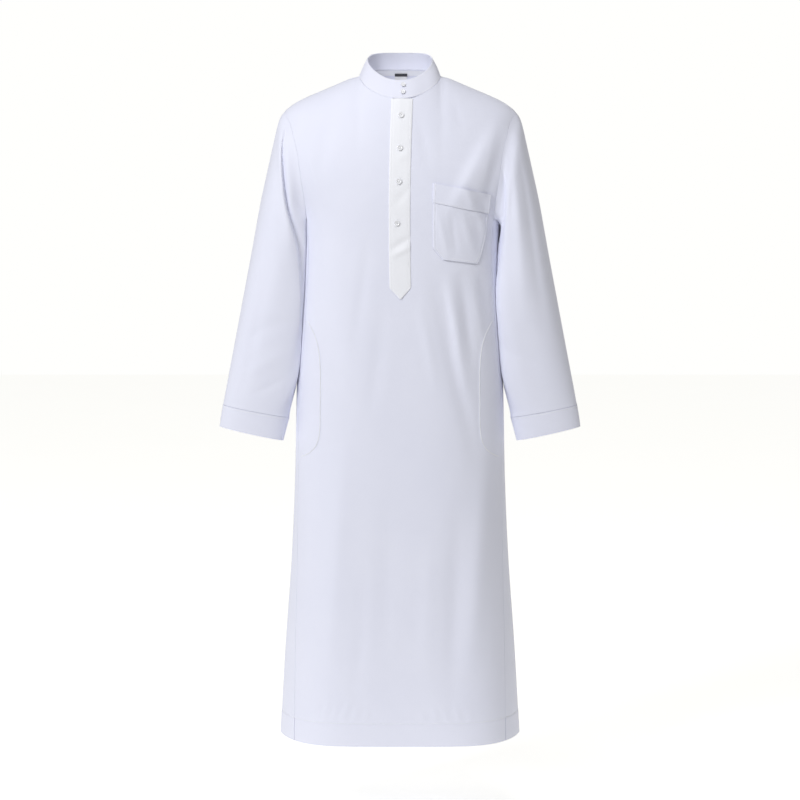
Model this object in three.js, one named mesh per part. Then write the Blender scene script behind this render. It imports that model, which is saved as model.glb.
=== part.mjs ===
// An ankle-length kurta cut like a thobe, filled out as worn and hollow.
// Millimetres, +Z up. The wearer faces -Y, so +X is the wearer's left.
// The origin is the middle of the neck, level with the sides of the neckline.
import * as THREE from 'three';

// Cloth and seams
const CLOTH = 1.4;
const HEM_CLOTH = 2.4;
const COLLAR_CLOTH = 2.4;
const TRIM_CLOTH = 1.4;
const SEAM_GAP = 0.35;
const GORE_GAP = 0.8;
const SLEEVE_GAP = 0.6;
const COLLAR_GAP = 1.6;
const LIFT = 0.5;

// Heights
const HEM_Z = -1350;
const HEM_DEPTH = 47;
const ARMPIT_Z = -285;
const GORE_DIP = 14;

// Neck: the ring where the collar meets the panels, and the collar's top edge
const NECK_HALF_WIDTH = 82;
const NECK_Z = { middle: -4.5, frontBack: -32, sides: -7.5 };
const COLLAR_TOP_HALF_WIDTH = 66;
const COLLAR_TOP_FRONT = 62;
const COLLAR_TOP_BACK = 42;
const COLLAR_TOP_Z = { middle: 30.8, frontBack: -30.5, sides: -7.2 };
const COLLAR_LAP = 11.25;
const LAP_EASE = 34;

// Shoulder
const SHOULDER_X = 232;
const SHOULDER_SEAM_ANGLE = 80;
const SHOULDER_GAP_ANGLE = 0.6;
const FOLD_FADE = 30;
const NECK_SKIRT = 13;
const PROBE = 0.5;

// Body sections, a row for each height: half width, depth in front of and behind the
// middle, the two powers of the section's curve, and where the gore seams lie as a
// share of the half width.
const BODY_SECTIONS = [
  { z: -1350, half: 249, front: 142, back: 136, power: 5.0, sidePower: 1.35, seam: 0.868 },
  { z: -1166, half: 238, front: 134, back: 129, power: 4.4, sidePower: 1.5, seam: 0.90 },
  { z: -990, half: 225, front: 127, back: 122, power: 3.9, sidePower: 1.7, seam: 0.935 },
  { z: -823, half: 217, front: 122, back: 116, power: 3.4, sidePower: 1.9, seam: 0.96 },
  { z: -650, half: 213, front: 118, back: 112, power: 3.1, sidePower: 2.1, seam: 0.965 },
  { z: -500, half: 209, front: 117, back: 108, power: 2.9, sidePower: 2.3, seam: 0.92 },
  { z: -285, half: 207, front: 120, back: 112, power: 2.7, sidePower: 2.5, seam: 0.91 },
  { z: -180, half: 254, front: 121, back: 114, power: 2.6, sidePower: 2.6, seam: 0.91 },
  { z: -60, half: 275, front: 121, back: 114, power: 2.6, sidePower: 2.6, seam: 0.91 },
];

// Height of the shoulder ridge out from the neck. Inside the neck ring each side keeps
// its own height, which gives the slope of the panel up to the neckline.
const RIDGE = [
  { x: 0, front: 46, back: 58 },
  { x: 31, front: 37, back: 50 },
  { x: 58, front: 23, back: 34 },
  { x: 71, front: 14, back: 21 },
  { x: 83, front: 4.5, back: 4.5 },
  { x: 100, front: 0, back: 0 },
  { x: 145, front: -19, back: -19 },
  { x: 190, front: -38, back: -38 },
  { x: 215, front: -51, back: -51 },
  { x: 240, front: -70, back: -70 },
];

// Armhole seam as seen from the front
const ARMHOLE = [
  { z: -285, x: 188.4 },
  { z: -250, x: 192 },
  { z: -217, x: 197 },
  { z: -185, x: 201.5 },
  { z: -145, x: 208 },
  { z: -96, x: 221 },
  { z: -76, x: 230 },
  { z: -62, x: 232 },
];

// Sleeve rings from the shoulder down: the outer and inner points of each ring, its half
// depth and how far its middle lies forward, and the share of the full ring shape it has.
const SLEEVE_RINGS = [
  { outX: 243, outZ: -80, inX: 202, inZ: -305, deep: 84, ahead: 3, share: 0.35 },
  { outX: 252, outZ: -106, inX: 197, inZ: -322, deep: 84, ahead: 3, share: 0.7 },
  { outX: 261, outZ: -144, inX: 194, inZ: -345, deep: 83, ahead: 3, share: 0.9 },
  { outX: 272, outZ: -195, inX: 192.5, inZ: -376, deep: 82, ahead: 4, share: 1 },
  { outX: 285, outZ: -253, inX: 192, inZ: -413, deep: 79, ahead: 5, share: 1 },
  { outX: 299, outZ: -330, inX: 192.5, inZ: -459, deep: 75, ahead: 7, share: 1 },
  { outX: 315, outZ: -414, inX: 195, inZ: -512, deep: 68, ahead: 9, share: 1 },
  { outX: 330, outZ: -492, inX: 200.5, inZ: -564, deep: 59, ahead: 11, share: 1 },
  { outX: 346.5, outZ: -578, inX: 209.5, inZ: -619, deep: 49, ahead: 14, share: 1 },
  { outX: 356, outZ: -626, inX: 217, inZ: -650, deep: 43, ahead: 16, share: 1 },
  { outX: 363, outZ: -664, inX: 227, inZ: -690, deep: 37, ahead: 18, share: 1 },
];
// The fold that drops from the shoulder to the underarm down the front of the sleeve
// head: its bearing and depth on each of the first rings. The bearing is 90 degrees at
// the top of the sleeve, 180 at the front and 270 underneath.
const HEAD_FOLD = [
  { ring: 0, bearing: 158, depth: 4 },
  { ring: 1, bearing: 184, depth: 7 },
  { ring: 2, bearing: 198, depth: 7 },
  { ring: 3, bearing: 222, depth: 6 },
  { ring: 4, bearing: 240, depth: 3 },
  { ring: 5, bearing: 246, depth: 0 },
];
const HEAD_FOLD_WIDTH = 13;
const CUFF_RINGS = [
  { outX: 363.1, outZ: -664.6, inX: 227.1, inZ: -690.6, deep: 37, ahead: 18, share: 1 },
  { outX: 367, outZ: -687, inX: 233.5, inZ: -715, deep: 34, ahead: 19, share: 1 },
  { outX: 370, outZ: -709, inX: 239.5, inZ: -738, deep: 31, ahead: 20, share: 1 },
];
const SLEEVE_POWER = 2.2;
const SLEEVE_CLEARANCE = 1.2;
const ARMHOLE_RISE = 117;
const ARMHOLE_REACH = 78;

// Soft folds of the front and back. Each runs from one end to the other, as a trough
// where its depth is negative and a ridge where it is positive.
const FRONT_FOLDS = [
  { x0: 222, z0: -84, x1: 112, z1: -276, width: 25, depth: 7 },
  { x0: 62, z0: -382, x1: 158, z1: -790, width: 15, depth: -4 },
  { x0: 96, z0: -384, x1: 134, z1: -660, width: 13, depth: 4 },
  { x0: 120, z0: -384, x1: 148, z1: -590, width: 12, depth: -4 },
  { x0: 160, z0: -385, x1: 198, z1: -515, width: 12, depth: -4 },
  { x0: 176, z0: -730, x1: 146, z1: -1210, width: 20, depth: 5 },
  { x0: 118, z0: -840, x1: 104, z1: -1290, width: 20, depth: -4 },
  { x0: -186, z0: -290, x1: -122, z1: -640, width: 22, depth: -3.5 },
  { x0: -112, z0: -700, x1: -152, z1: -1250, width: 24, depth: 4 },
];
const BACK_FOLDS = [
  { x0: -216, z0: -104, x1: -86, z1: -340, width: 24, depth: 6.5 },
  { x0: 214, z0: -100, x1: 98, z1: -362, width: 25, depth: 7 },
  { x0: -66, z0: -340, x1: -98, z1: -880, width: 20, depth: -4.5 },
  { x0: 38, z0: -400, x1: 64, z1: -1010, width: 24, depth: 4.5 },
  { x0: 122, z0: -520, x1: 150, z1: -1190, width: 20, depth: -4.5 },
  { x0: -134, z0: -740, x1: -160, z1: -1270, width: 22, depth: 4.5 },
];

// Placket, down its own middle line
const PLACKET_HALF_WIDTH = 21.5;
const PLACKET_LINE = [
  { z: -444, middle: 1 },
  { z: -370, middle: -0.5 },
  { z: -246, middle: -1 },
  { z: -137, middle: 1 },
  { z: -44, middle: 4.4 },
];
const PLACKET_TIP_Z = -444;
const PLACKET_SHOULDER_Z = -422;
const PLACKET_TIP_HALF_WIDTH = 1.5;
const PLACKET_TOP_Z = -46;
const PLACKET_TOP_RISE = 1;

// Chest pocket, a row for each level from its top edge down
const POCKET_ROWS = [
  { leftX: 66, leftZ: -252.6, rightX: 178.6, rightZ: -275.6 },
  { leftX: 65.3, leftZ: -282, rightX: 175.6, rightZ: -303 },
  { leftX: 65.3, leftZ: -312, rightX: 171.5, rightZ: -329 },
  { leftX: 65.8, leftZ: -342, rightX: 165.6, rightZ: -353 },
  { leftX: 76, leftZ: -354.5, rightX: 161, rightZ: -364.6 },
  { leftX: 86.5, leftZ: -366, rightX: 155, rightZ: -374.5 },
];
const POCKET_BAND_ROWS = [
  { leftX: 66.4, leftZ: -213.5, rightX: 184, rightZ: -235.7 },
  { leftX: 65.8, leftZ: -233, rightX: 181.8, rightZ: -255.5 },
  { leftX: 65.2, leftZ: -252, rightX: 179.6, rightZ: -275 },
];

// Side pocket bag, from its top to its bottom: how far in from the gore seam it reaches
const SIDE_POCKET_ROWS = [
  { z: -490, reach: 3 },
  { z: -505, reach: 12 },
  { z: -520, reach: 20 },
  { z: -548, reach: 30 },
  { z: -600, reach: 39 },
  { z: -660, reach: 43 },
  { z: -715, reach: 43 },
  { z: -742, reach: 36 },
  { z: -758, reach: 22 },
  { z: -768, reach: 5 },
];

// Buttons
const PLACKET_BUTTON = { radius: 5.8, thickness: 2.4 };
const COLLAR_BUTTON = { radius: 5, thickness: 2 };
const BUTTON_SIDES = 12;
const COLLAR_BUTTONS = [
  { name: 'button_collar_1', turn: 5, share: 0.69 },
  { name: 'button_collar_2', turn: 4.2, share: 0.31 },
];
const PLACKET_BUTTONS = [
  { name: 'button_placket_1', x: 2, z: -78.3 },
  { name: 'button_placket_2', x: 0, z: -143.4 },
  { name: 'button_placket_3', x: -2, z: -209.8 },
  { name: 'button_placket_4', x: -6, z: -292.4 },
];

// Label inside the back neck
const LABEL = { x: 2, halfWidth: 13, top: 13, bottom: -17, thickness: 1 };

// Steps of the grids
const LOWER_ROWS = 20;
const UPPER_ROWS = 9;
const GORE_COLUMNS = 6;
const NECK_COLUMNS = 8;
const SHOULDER_COLUMNS = 7;
const EDGE_COLUMN = NECK_COLUMNS + SHOULDER_COLUMNS;
const SKIRT_ROW = 12;
const COLLAR_STEPS = 68;
const COLLAR_ROWS = 2;
const PLACKET_STEPS = 14;
const PLACKET_COLUMNS = 6;
const PLACKET_LIFT = 0.8;
const POCKET_COLUMNS = 9;
const POCKET_LIFT = 0.8;
const BAG_COLUMNS = 4;
const BAG_INSET = 3;
const BAG_LIFT = 0.7;

const DEGREES = Math.PI / 180;
const mix = (from, to, share) => from + (to - from) * share;
const point = (x, y, z) => new THREE.Vector3(x, y, z);

// Reads one column of a table at a place along another, smoothly between its rows.
function readTable(rows, key, column, place) {
  const last = rows.length - 1;
  const rising = rows[last][key] > rows[0][key];
  const sorted = rising ? rows : [...rows].reverse();
  if (place <= sorted[0][key]) return sorted[0][column];
  if (place >= sorted[last][key]) return sorted[last][column];
  const after = sorted.findIndex((row) => row[key] > place);
  const slope = (low, high) => {
    const a = sorted[Math.max(low, 0)];
    const b = sorted[Math.min(high, last)];
    return (b[column] - a[column]) / (b[key] - a[key]);
  };
  const start = sorted[after - 1];
  const end = sorted[after];
  const step = end[key] - start[key];
  const t = (place - start[key]) / step;
  const square = t * t;
  const cube = square * t;
  return start[column] * (2 * cube - 3 * square + 1) + end[column] * (3 * square - 2 * cube)
    + step * slope(after - 2, after) * (cube - 2 * square + t)
    + step * slope(after - 1, after + 1) * (cube - square);
}

const section = (column, z) => readTable(BODY_SECTIONS, 'z', column, z);
const seamX = (z) => section('half', z) * section('seam', z);
const ringZ = (heights, turn) =>
  heights.middle + heights.frontBack * Math.cos(turn) + heights.sides * Math.cos(2 * turn);

// How far a fold lifts the cloth at a point, easing out to its sides and ends.
function foldLift(folds, x, z) {
  let lift = 0;
  for (const fold of folds) {
    const runX = fold.x1 - fold.x0;
    const runZ = fold.z1 - fold.z0;
    const length = Math.hypot(runX, runZ);
    const along = ((x - fold.x0) * runX + (z - fold.z0) * runZ) / (length * length);
    if (along <= 0 || along >= 1) continue;
    const aside = ((x - fold.x0) * runZ - (z - fold.z0) * runX) / length;
    lift += fold.depth * Math.sin(along * Math.PI) * Math.exp(-((aside / fold.width) ** 2));
  }
  return lift;
}

// Depth of the body's surface at a point seen from the front; side is -1 for the front
// and 1 for the back. Above the armpit it rounds over to the shoulder ridge.
function bodyY(side, x, z) {
  const depth = section(side < 0 ? 'front' : 'back', z);
  const across = Math.min(Math.abs(x) / section('half', z), 1);
  const round = Math.max(1 - across ** section('power', z), 0) ** (1 / section('sidePower', z));
  let rise = 1;
  if (z > ARMPIT_Z) {
    const ridge = readTable(RIDGE, 'x', side < 0 ? 'front' : 'back', Math.abs(x));
    const climb = Math.min((z - ARMPIT_Z) / (ridge - ARMPIT_Z), 1);
    rise = Math.sqrt(1 - climb * climb);
  }
  const lift = foldLift(side < 0 ? FRONT_FOLDS : BACK_FOLDS, x, z) * rise * fadeToSeam(x, z);
  return side * (depth * round * rise + lift);
}

// Half width of the body at a depth, below the armpit.
function bodyX(y, z) {
  const depth = section(y < 0 ? 'front' : 'back', z);
  const inward = Math.min(Math.abs(y) / depth, 1) ** section('sidePower', z);
  return section('half', z) * (1 - inward) ** (1 / section('power', z));
}

// Builds a closed wall from a grid of outer points. Rows run up and columns run round
// anticlockwise as seen from above, so the face looks outward. A tube joins its columns.
function wallGeometry(outer, thickness, tube = false) {
  const rows = outer.length;
  const columns = outer[0].length;
  const thick = typeof thickness === 'number' ? () => thickness : thickness;
  const column = (c) => (tube ? (c + columns) % columns : Math.min(Math.max(c, 0), columns - 1));
  const row = (r) => Math.min(Math.max(r, 0), rows - 1);
  const inner = outer.map((line, r) => line.map((here, c) => {
    const across = outer[r][column(c + 1)].clone().sub(outer[r][column(c - 1)]);
    const up = outer[row(r + 1)][c].clone().sub(outer[row(r - 1)][c]);
    return here.clone().addScaledVector(across.cross(up).normalize(), -thick(r, c));
  }));
  const positions = [];
  for (const grid of [outer, inner]) {
    for (const line of grid) {
      for (const here of line) positions.push(here.x, here.y, here.z);
    }
  }
  const outerAt = (r, c) => r * columns + column(c);
  const innerAt = (r, c) => (rows + r) * columns + column(c);
  const faces = [];
  const quad = (a, b, c, d) => faces.push(a, b, c, a, c, d);
  const spans = tube ? columns : columns - 1;
  for (let r = 0; r < rows - 1; r += 1) {
    for (let c = 0; c < spans; c += 1) {
      quad(outerAt(r, c), outerAt(r, c + 1), outerAt(r + 1, c + 1), outerAt(r + 1, c));
      quad(innerAt(r, c), innerAt(r + 1, c), innerAt(r + 1, c + 1), innerAt(r, c + 1));
    }
  }
  for (let c = 0; c < spans; c += 1) {
    quad(outerAt(0, c), innerAt(0, c), innerAt(0, c + 1), outerAt(0, c + 1));
    quad(outerAt(rows - 1, c + 1), innerAt(rows - 1, c + 1), innerAt(rows - 1, c), outerAt(rows - 1, c));
  }
  if (!tube) {
    for (let r = 0; r < rows - 1; r += 1) {
      quad(outerAt(r, 0), outerAt(r + 1, 0), innerAt(r + 1, 0), innerAt(r, 0));
      const end = columns - 1;
      quad(outerAt(r, end), innerAt(r, end), innerAt(r + 1, end), outerAt(r + 1, end));
    }
  }
  const geometry = new THREE.BufferGeometry();
  geometry.setAttribute('position', new THREE.Float32BufferAttribute(positions, 3));
  geometry.setIndex(faces);
  geometry.computeVertexNormals();
  return geometry;
}

const mirrored = (grid) => grid.map((line) => [...line].reverse().map((p) => point(-p.x, p.y, p.z)));

const kurta = new THREE.Group();
function add(name, geometry, look) {
  const mesh = new THREE.Mesh(geometry, new THREE.MeshStandardMaterial(look));
  mesh.name = name;
  kurta.add(mesh);
}
const CLOTH_LOOK = { color: 0xe6e9f6, roughness: 0.62, metalness: 0 };
const TRIM_LOOK = { color: 0xeceffa, roughness: 0.62, metalness: 0 };
const BUTTON_LOOK = { color: 0xe9ebf2, roughness: 0.25, metalness: 0 };
const LABEL_LOOK = { color: 0xf4f4f6, roughness: 0.8, metalness: 0 };

// Heights shared by the front, back and gores below the armpit, closer near the hem.
const lowerHeights = [HEM_Z, HEM_Z + HEM_DEPTH];
for (let step = 1; step <= LOWER_ROWS - 1; step += 1) {
  lowerHeights.push(mix(HEM_Z + HEM_DEPTH, ARMPIT_Z, step / (LOWER_ROWS - 1)));
}

// Fold lifts fade out towards a panel's seams, so neighbouring pieces still meet.
function fadeToSeam(x, z) {
  const edge = z > ARMPIT_Z ? readTable(ARMHOLE, 'z', 'x', z) : seamX(z);
  const share = Math.min(Math.max((edge - Math.abs(x)) / FOLD_FADE, 0), 1);
  return share * share * (3 - 2 * share);
}

// Outward normal of the body's surface; side is -1 for the front and 1 for the back.
function bodyNormal(side, x, z) {
  const slopeX = (bodyY(side, x + PROBE, z) - bodyY(side, x - PROBE, z)) / (2 * PROBE);
  const slopeZ = (bodyY(side, x, z + PROBE) - bodyY(side, x, z - PROBE)) / (2 * PROBE);
  return point(-slopeX, 1, -slopeZ).multiplyScalar(side).normalize();
}

// Top end of a panel's column. Columns up to NECK_COLUMNS from the middle end on the
// neckline, and those beyond on the shoulder seam.
function columnTop(side, column) {
  const sign = Math.sign(column);
  const share = Math.abs(column) / NECK_COLUMNS;
  if (share <= 1) {
    const turn = (side < 0 ? share : 2 - share) * 90 * DEGREES;
    return { x: sign * NECK_HALF_WIDTH * Math.sin(turn), z: ringZ(NECK_Z, turn) - SEAM_GAP };
  }
  const x = mix(NECK_HALF_WIDTH, SHOULDER_X, (share - 1) * NECK_COLUMNS / SHOULDER_COLUMNS);
  const ridge = readTable(RIDGE, 'x', 'front', x);
  return { x: sign * x, z: mix(ARMPIT_Z, ridge, Math.sin(SHOULDER_SEAM_ANGLE * DEGREES)) };
}

// A point of a panel above the armpit. It climbs on a sine, so the rows crowd where the
// cloth turns over, and the back panel passes over the ridge to the seam on the front.
function upperPoint(side, column, climb) {
  const onShoulder = Math.abs(column) >= NECK_COLUMNS;
  const top = columnTop(onShoulder ? -1 : side, column);
  const ridge = readTable(RIDGE, 'x', side < 0 ? 'front' : 'back', Math.abs(top.x));
  const seamTurn = Math.asin(Math.min((top.z - ARMPIT_Z) / (ridge - ARMPIT_Z), 1));
  const crosses = side > 0 && onShoulder;
  const fullTurn = crosses ? Math.PI - seamTurn - SHOULDER_GAP_ANGLE * DEGREES : seamTurn;
  const turn = fullTurn * climb;
  const past = turn > Math.PI / 2;
  const rise = Math.sin(turn) / (crosses ? 1 : Math.sin(fullTurn));
  const z = mix(ARMPIT_Z, crosses ? ridge : top.z, rise);
  const out = Math.abs(column) / EDGE_COLUMN;
  const level = past ? 1 : rise;
  const bend = readTable(ARMHOLE, 'z', 'x', z) - mix(seamX(ARMPIT_Z), SHOULDER_X, level);
  const fromNeck = Math.max((EDGE_COLUMN - Math.abs(column)) / SHOULDER_COLUMNS, 0);
  const skirt = onShoulder ? NECK_SKIRT * fromNeck * Math.sin(Math.PI * climb ** 3) : 0;
  const span = mix(seamX(ARMPIT_Z) * out, Math.abs(top.x), level) + bend * out ** 4;
  const x = Math.sign(column) * (span + skirt);
  return point(x, bodyY(past ? -1 : side, x, z), z);
}

function panelRow(side, rowPoint) {
  const line = [];
  for (let column = -EDGE_COLUMN; column <= EDGE_COLUMN; column += 1) line.push(rowPoint(column));
  return side < 0 ? line : line.reverse();
}

function panelGrid(side) {
  const grid = lowerHeights.slice(0, -1).map((z) => panelRow(side, (column) => {
    const x = seamX(z) * column / EDGE_COLUMN;
    return point(x, bodyY(side, x, z), z);
  }));
  for (let step = 0; step <= UPPER_ROWS; step += 1) {
    grid.push(panelRow(side, (column) => upperPoint(side, column, step / UPPER_ROWS)));
  }
  return grid;
}

const panels = { front: panelGrid(-1), back: panelGrid(1) };

// Depth of a panel's own faces at a point seen from the front.
function panelY(grid, x, z) {
  for (let row = 0; row < grid.length - 1; row += 1) {
    for (let column = 0; column < grid[row].length - 1; column += 1) {
      const a = grid[row][column];
      const c = grid[row + 1][column + 1];
      for (const b of [grid[row][column + 1], grid[row + 1][column]]) {
        const area = (b.x - a.x) * (c.z - a.z) - (c.x - a.x) * (b.z - a.z);
        const toB = ((x - a.x) * (c.z - a.z) - (c.x - a.x) * (z - a.z)) / area;
        const toC = ((b.x - a.x) * (z - a.z) - (x - a.x) * (b.z - a.z)) / area;
        if (toB >= 0 && toC >= 0 && toB + toC <= 1) return a.y + toB * (b.y - a.y) + toC * (c.y - a.y);
      }
    }
  }
  throw new Error('the point is off the panel');
}

// A point off a panel's faces: outside them where the distance is positive.
function offPanel(side, x, z, distance) {
  const grid = side < 0 ? panels.front : panels.back;
  return point(x, panelY(grid, x, z), z).addScaledVector(bodyNormal(side, x, z), distance);
}

// Hem rows are two layers of cloth, turned up and sewn.
const hemmed = (row) => (row < 2 ? HEM_CLOTH : CLOTH);

// A panel is one cut of cloth, made here as two solids that meet above the knee, so that
// the collision shapes of each follow its hollow.
const skirtOf = (grid) => grid.slice(0, SKIRT_ROW + 1);
function bodyOf(grid) {
  const edge = grid[SKIRT_ROW].map((here, column) => {
    const up = grid[SKIRT_ROW + 1][column].clone().sub(here).normalize();
    return here.clone().addScaledVector(up, SEAM_GAP);
  });
  return [edge, ...grid.slice(SKIRT_ROW + 1)];
}

// Side gore on the +X side, its columns from the front seam round to the back seam.
function goreGrid() {
  return lowerHeights.map((z, row) => {
    const line = [];
    const frontY = bodyY(-1, seamX(z), z) + GORE_GAP;
    const backY = bodyY(1, seamX(z), z) - GORE_GAP;
    for (let column = 0; column <= GORE_COLUMNS; column += 1) {
      const share = column / GORE_COLUMNS;
      const dip = row === lowerHeights.length - 1 ? GORE_DIP * Math.sin(share * Math.PI) : 0;
      const y = mix(frontY, backY, share);
      line.push(point(bodyX(y, z - dip), y, z - dip));
    }
    return line;
  });
}

// The armhole on the +X side, as the ring the sleeve is sewn to: up the front panel's
// edge, down the back panel's edge and forward along the top of the gore.
function armholeRing(gore) {
  const ring = [];
  for (let step = 0; step < UPPER_ROWS; step += 1) ring.push(upperPoint(-1, EDGE_COLUMN, step / UPPER_ROWS));
  for (let step = UPPER_ROWS; step > 0; step -= 1) ring.push(upperPoint(1, EDGE_COLUMN, step / UPPER_ROWS));
  const goreTop = gore[gore.length - 1];
  for (let column = GORE_COLUMNS; column > 0; column -= 1) ring.push(goreTop[column].clone());
  return ring.map((p) => point(p.x + SLEEVE_GAP, p.y, p.z + (p.z < ARMPIT_Z + 1 ? SEAM_GAP : 0)));
}

const rounded = (value, power) => Math.sign(value) * Math.abs(value) ** (2 / power);

// One ring of a sleeve or cuff. Each of its points keeps the bearing it has on the armhole
// ring, and none comes nearer to the body than the clearance.
function sleeveRing(armhole, ring, index) {
  const middle = point((ring.outX + ring.inX) / 2, -ring.ahead, (ring.outZ + ring.inZ) / 2);
  const half = point((ring.outX - ring.inX) / 2, 0, (ring.outZ - ring.inZ) / 2);
  const heart = armhole.reduce((sum, p) => sum.add(p), point(0, 0, 0)).divideScalar(armhole.length);
  return armhole.map((seam) => {
    const bearing = Math.atan2((seam.z - heart.z) / ARMHOLE_RISE, (seam.y - heart.y) / ARMHOLE_REACH);
    const full = middle.clone().addScaledVector(half, rounded(Math.sin(bearing), SLEEVE_POWER));
    full.y += ring.deep * rounded(Math.cos(bearing), SLEEVE_POWER);
    const early = seam.clone().add(middle).sub(heart);
    const place = early.lerp(full, ring.share);
    const bearingDegrees = (bearing / DEGREES + 360) % 360;
    const aside = (bearingDegrees - readTable(HEAD_FOLD, 'ring', 'bearing', index)) / HEAD_FOLD_WIDTH;
    const pinch = readTable(HEAD_FOLD, 'ring', 'depth', index) * Math.exp(-aside * aside);
    place.addScaledVector(middle.clone().sub(place).normalize(), pinch);
    if (place.z < ARMPIT_Z) place.x = Math.max(place.x, bodyX(place.y, place.z) + SLEEVE_CLEARANCE);
    return place;
  });
}

// The neckline all round, from the front middle by the wearer's left: the tops of the
// front panel's middle columns, then of the back panel's.
const frontTop = panels.front[panels.front.length - 1].slice(SHOULDER_COLUMNS, -SHOULDER_COLUMNS);
const backTop = panels.back[panels.back.length - 1].slice(SHOULDER_COLUMNS + 1, -SHOULDER_COLUMNS - 1);
const neckline = [...frontTop.slice(NECK_COLUMNS), ...backTop, ...frontTop.slice(0, NECK_COLUMNS)];

// Stand collar. The turn starts at the front middle and goes round by the wearer's left.
function collarPoint(turn, share) {
  const front = Math.cos(turn) > 0;
  const place = (turn / (2 * Math.PI) + 1) * neckline.length;
  const before = Math.floor(place + 1e-6);
  const start = neckline[before % neckline.length];
  const base = start.clone().lerp(neckline[(before + 1) % neckline.length], Math.max(place - before, 0));
  base.z += COLLAR_GAP;
  const topY = -(front ? COLLAR_TOP_FRONT : COLLAR_TOP_BACK) * Math.cos(turn);
  const top = point(COLLAR_TOP_HALF_WIDTH * Math.sin(turn), topY, ringZ(COLLAR_TOP_Z, turn));
  return base.lerp(top, share);
}

function collarGrid() {
  const grid = [];
  const lap = COLLAR_LAP * DEGREES;
  for (let row = 0; row <= COLLAR_ROWS; row += 1) {
    const line = [];
    for (let step = 0; step <= COLLAR_STEPS; step += 1) {
      const turn = mix(-lap, 2 * Math.PI + lap, step / COLLAR_STEPS);
      const ease = Math.min(Math.max((turn - lap) / (LAP_EASE * DEGREES), 0), 1);
      const lift = (COLLAR_CLOTH + SEAM_GAP) * (1 - ease * ease * (3 - 2 * ease));
      const here = collarPoint(turn, row / COLLAR_ROWS);
      line.push(here.add(point(Math.sin(turn) * lift, -Math.cos(turn) * lift, 0)));
    }
    grid.push(line);
  }
  return grid;
}

// A sewn-on piece from rows of left and right ends, given from its lowest row up. The
// distance is that of its outer face from the body's surface.
function patchGrid(side, rows, columns, distance) {
  return rows.map((row) => {
    const line = [];
    for (let column = 0; column <= columns; column += 1) {
      const share = column / columns;
      const x = mix(row.leftX, row.rightX, share);
      const z = mix(row.leftZ, row.rightZ, share);
      line.push(offPanel(side, x, z, distance));
    }
    return line;
  });
}

function placketRows() {
  const rows = [];
  const levelRow = (z, halfWidth) => {
    const middle = readTable(PLACKET_LINE, 'z', 'middle', z);
    rows.push({ leftX: middle - halfWidth, leftZ: z, rightX: middle + halfWidth, rightZ: z });
  };
  levelRow(PLACKET_TIP_Z, PLACKET_TIP_HALF_WIDTH);
  for (let step = 0; step < PLACKET_STEPS; step += 1) {
    levelRow(mix(PLACKET_SHOULDER_Z, PLACKET_TOP_Z, step / PLACKET_STEPS), PLACKET_HALF_WIDTH);
  }
  const last = readTable(PLACKET_LINE, 'z', 'middle', PLACKET_TOP_Z);
  rows.push({
    leftX: last - PLACKET_HALF_WIDTH,
    leftZ: PLACKET_TOP_Z,
    rightX: last + PLACKET_HALF_WIDTH,
    rightZ: PLACKET_TOP_Z + PLACKET_TOP_RISE,
  });
  return rows;
}

// A sewn-through button: a dished disc with a raised rim, standing on a point.
function buttonGeometry({ radius, thickness }, foot, normal) {
  const profile = [
    new THREE.Vector2(0, 0),
    new THREE.Vector2(radius * 0.8, 0),
    new THREE.Vector2(radius, thickness * 0.45),
    new THREE.Vector2(radius * 0.94, thickness * 0.9),
    new THREE.Vector2(radius * 0.84, thickness),
    new THREE.Vector2(radius * 0.62, thickness * 0.7),
    new THREE.Vector2(0, thickness * 0.62),
  ];
  const geometry = new THREE.LatheGeometry(profile, BUTTON_SIDES);
  const turn = new THREE.Quaternion().setFromUnitVectors(point(0, 1, 0), normal);
  geometry.applyQuaternion(turn);
  geometry.translate(foot.x, foot.y, foot.z);
  return geometry;
}

// Panels
add('front_panel', wallGeometry(bodyOf(panels.front), CLOTH), CLOTH_LOOK);
add('front_skirt', wallGeometry(skirtOf(panels.front), hemmed), CLOTH_LOOK);
add('back_panel', wallGeometry(bodyOf(panels.back), CLOTH), CLOTH_LOOK);
add('back_skirt', wallGeometry(skirtOf(panels.back), hemmed), CLOTH_LOOK);

// Gores, sleeves and cuffs, each made on the wearer's left and mirrored to the right
const gore = goreGrid();
const armhole = armholeRing(gore);
const sleeve = [armhole, ...SLEEVE_RINGS.map((ring, index) => sleeveRing(armhole, ring, index))].reverse();
const cuff = CUFF_RINGS.map((ring) => sleeveRing(armhole, ring, SLEEVE_RINGS.length)).reverse();
add('side_gore_left', wallGeometry(gore, hemmed), CLOTH_LOOK);
add('side_gore_right', wallGeometry(mirrored(gore), hemmed), CLOTH_LOOK);
add('sleeve_left', wallGeometry(sleeve, CLOTH, true), CLOTH_LOOK);
add('sleeve_right', wallGeometry(mirrored(sleeve), CLOTH, true), CLOTH_LOOK);
add('cuff_left', wallGeometry(cuff, HEM_CLOTH, true), CLOTH_LOOK);
add('cuff_right', wallGeometry(mirrored(cuff), HEM_CLOTH, true), CLOTH_LOOK);

// Collar and placket
add('collar', wallGeometry(collarGrid(), COLLAR_CLOTH), TRIM_LOOK);
const placket = patchGrid(-1, placketRows(), PLACKET_COLUMNS, PLACKET_LIFT + TRIM_CLOTH);
add('placket', wallGeometry(placket, TRIM_CLOTH), TRIM_LOOK);

// Chest pocket and its band
const pocket = patchGrid(-1, [...POCKET_ROWS].reverse(), POCKET_COLUMNS, POCKET_LIFT + TRIM_CLOTH);
add('chest_pocket', wallGeometry(pocket, TRIM_CLOTH), CLOTH_LOOK);
const band = patchGrid(-1, [...POCKET_BAND_ROWS].reverse(), POCKET_COLUMNS, POCKET_LIFT + HEM_CLOTH);
add('chest_pocket_band', wallGeometry(band, HEM_CLOTH), CLOTH_LOOK);

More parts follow.
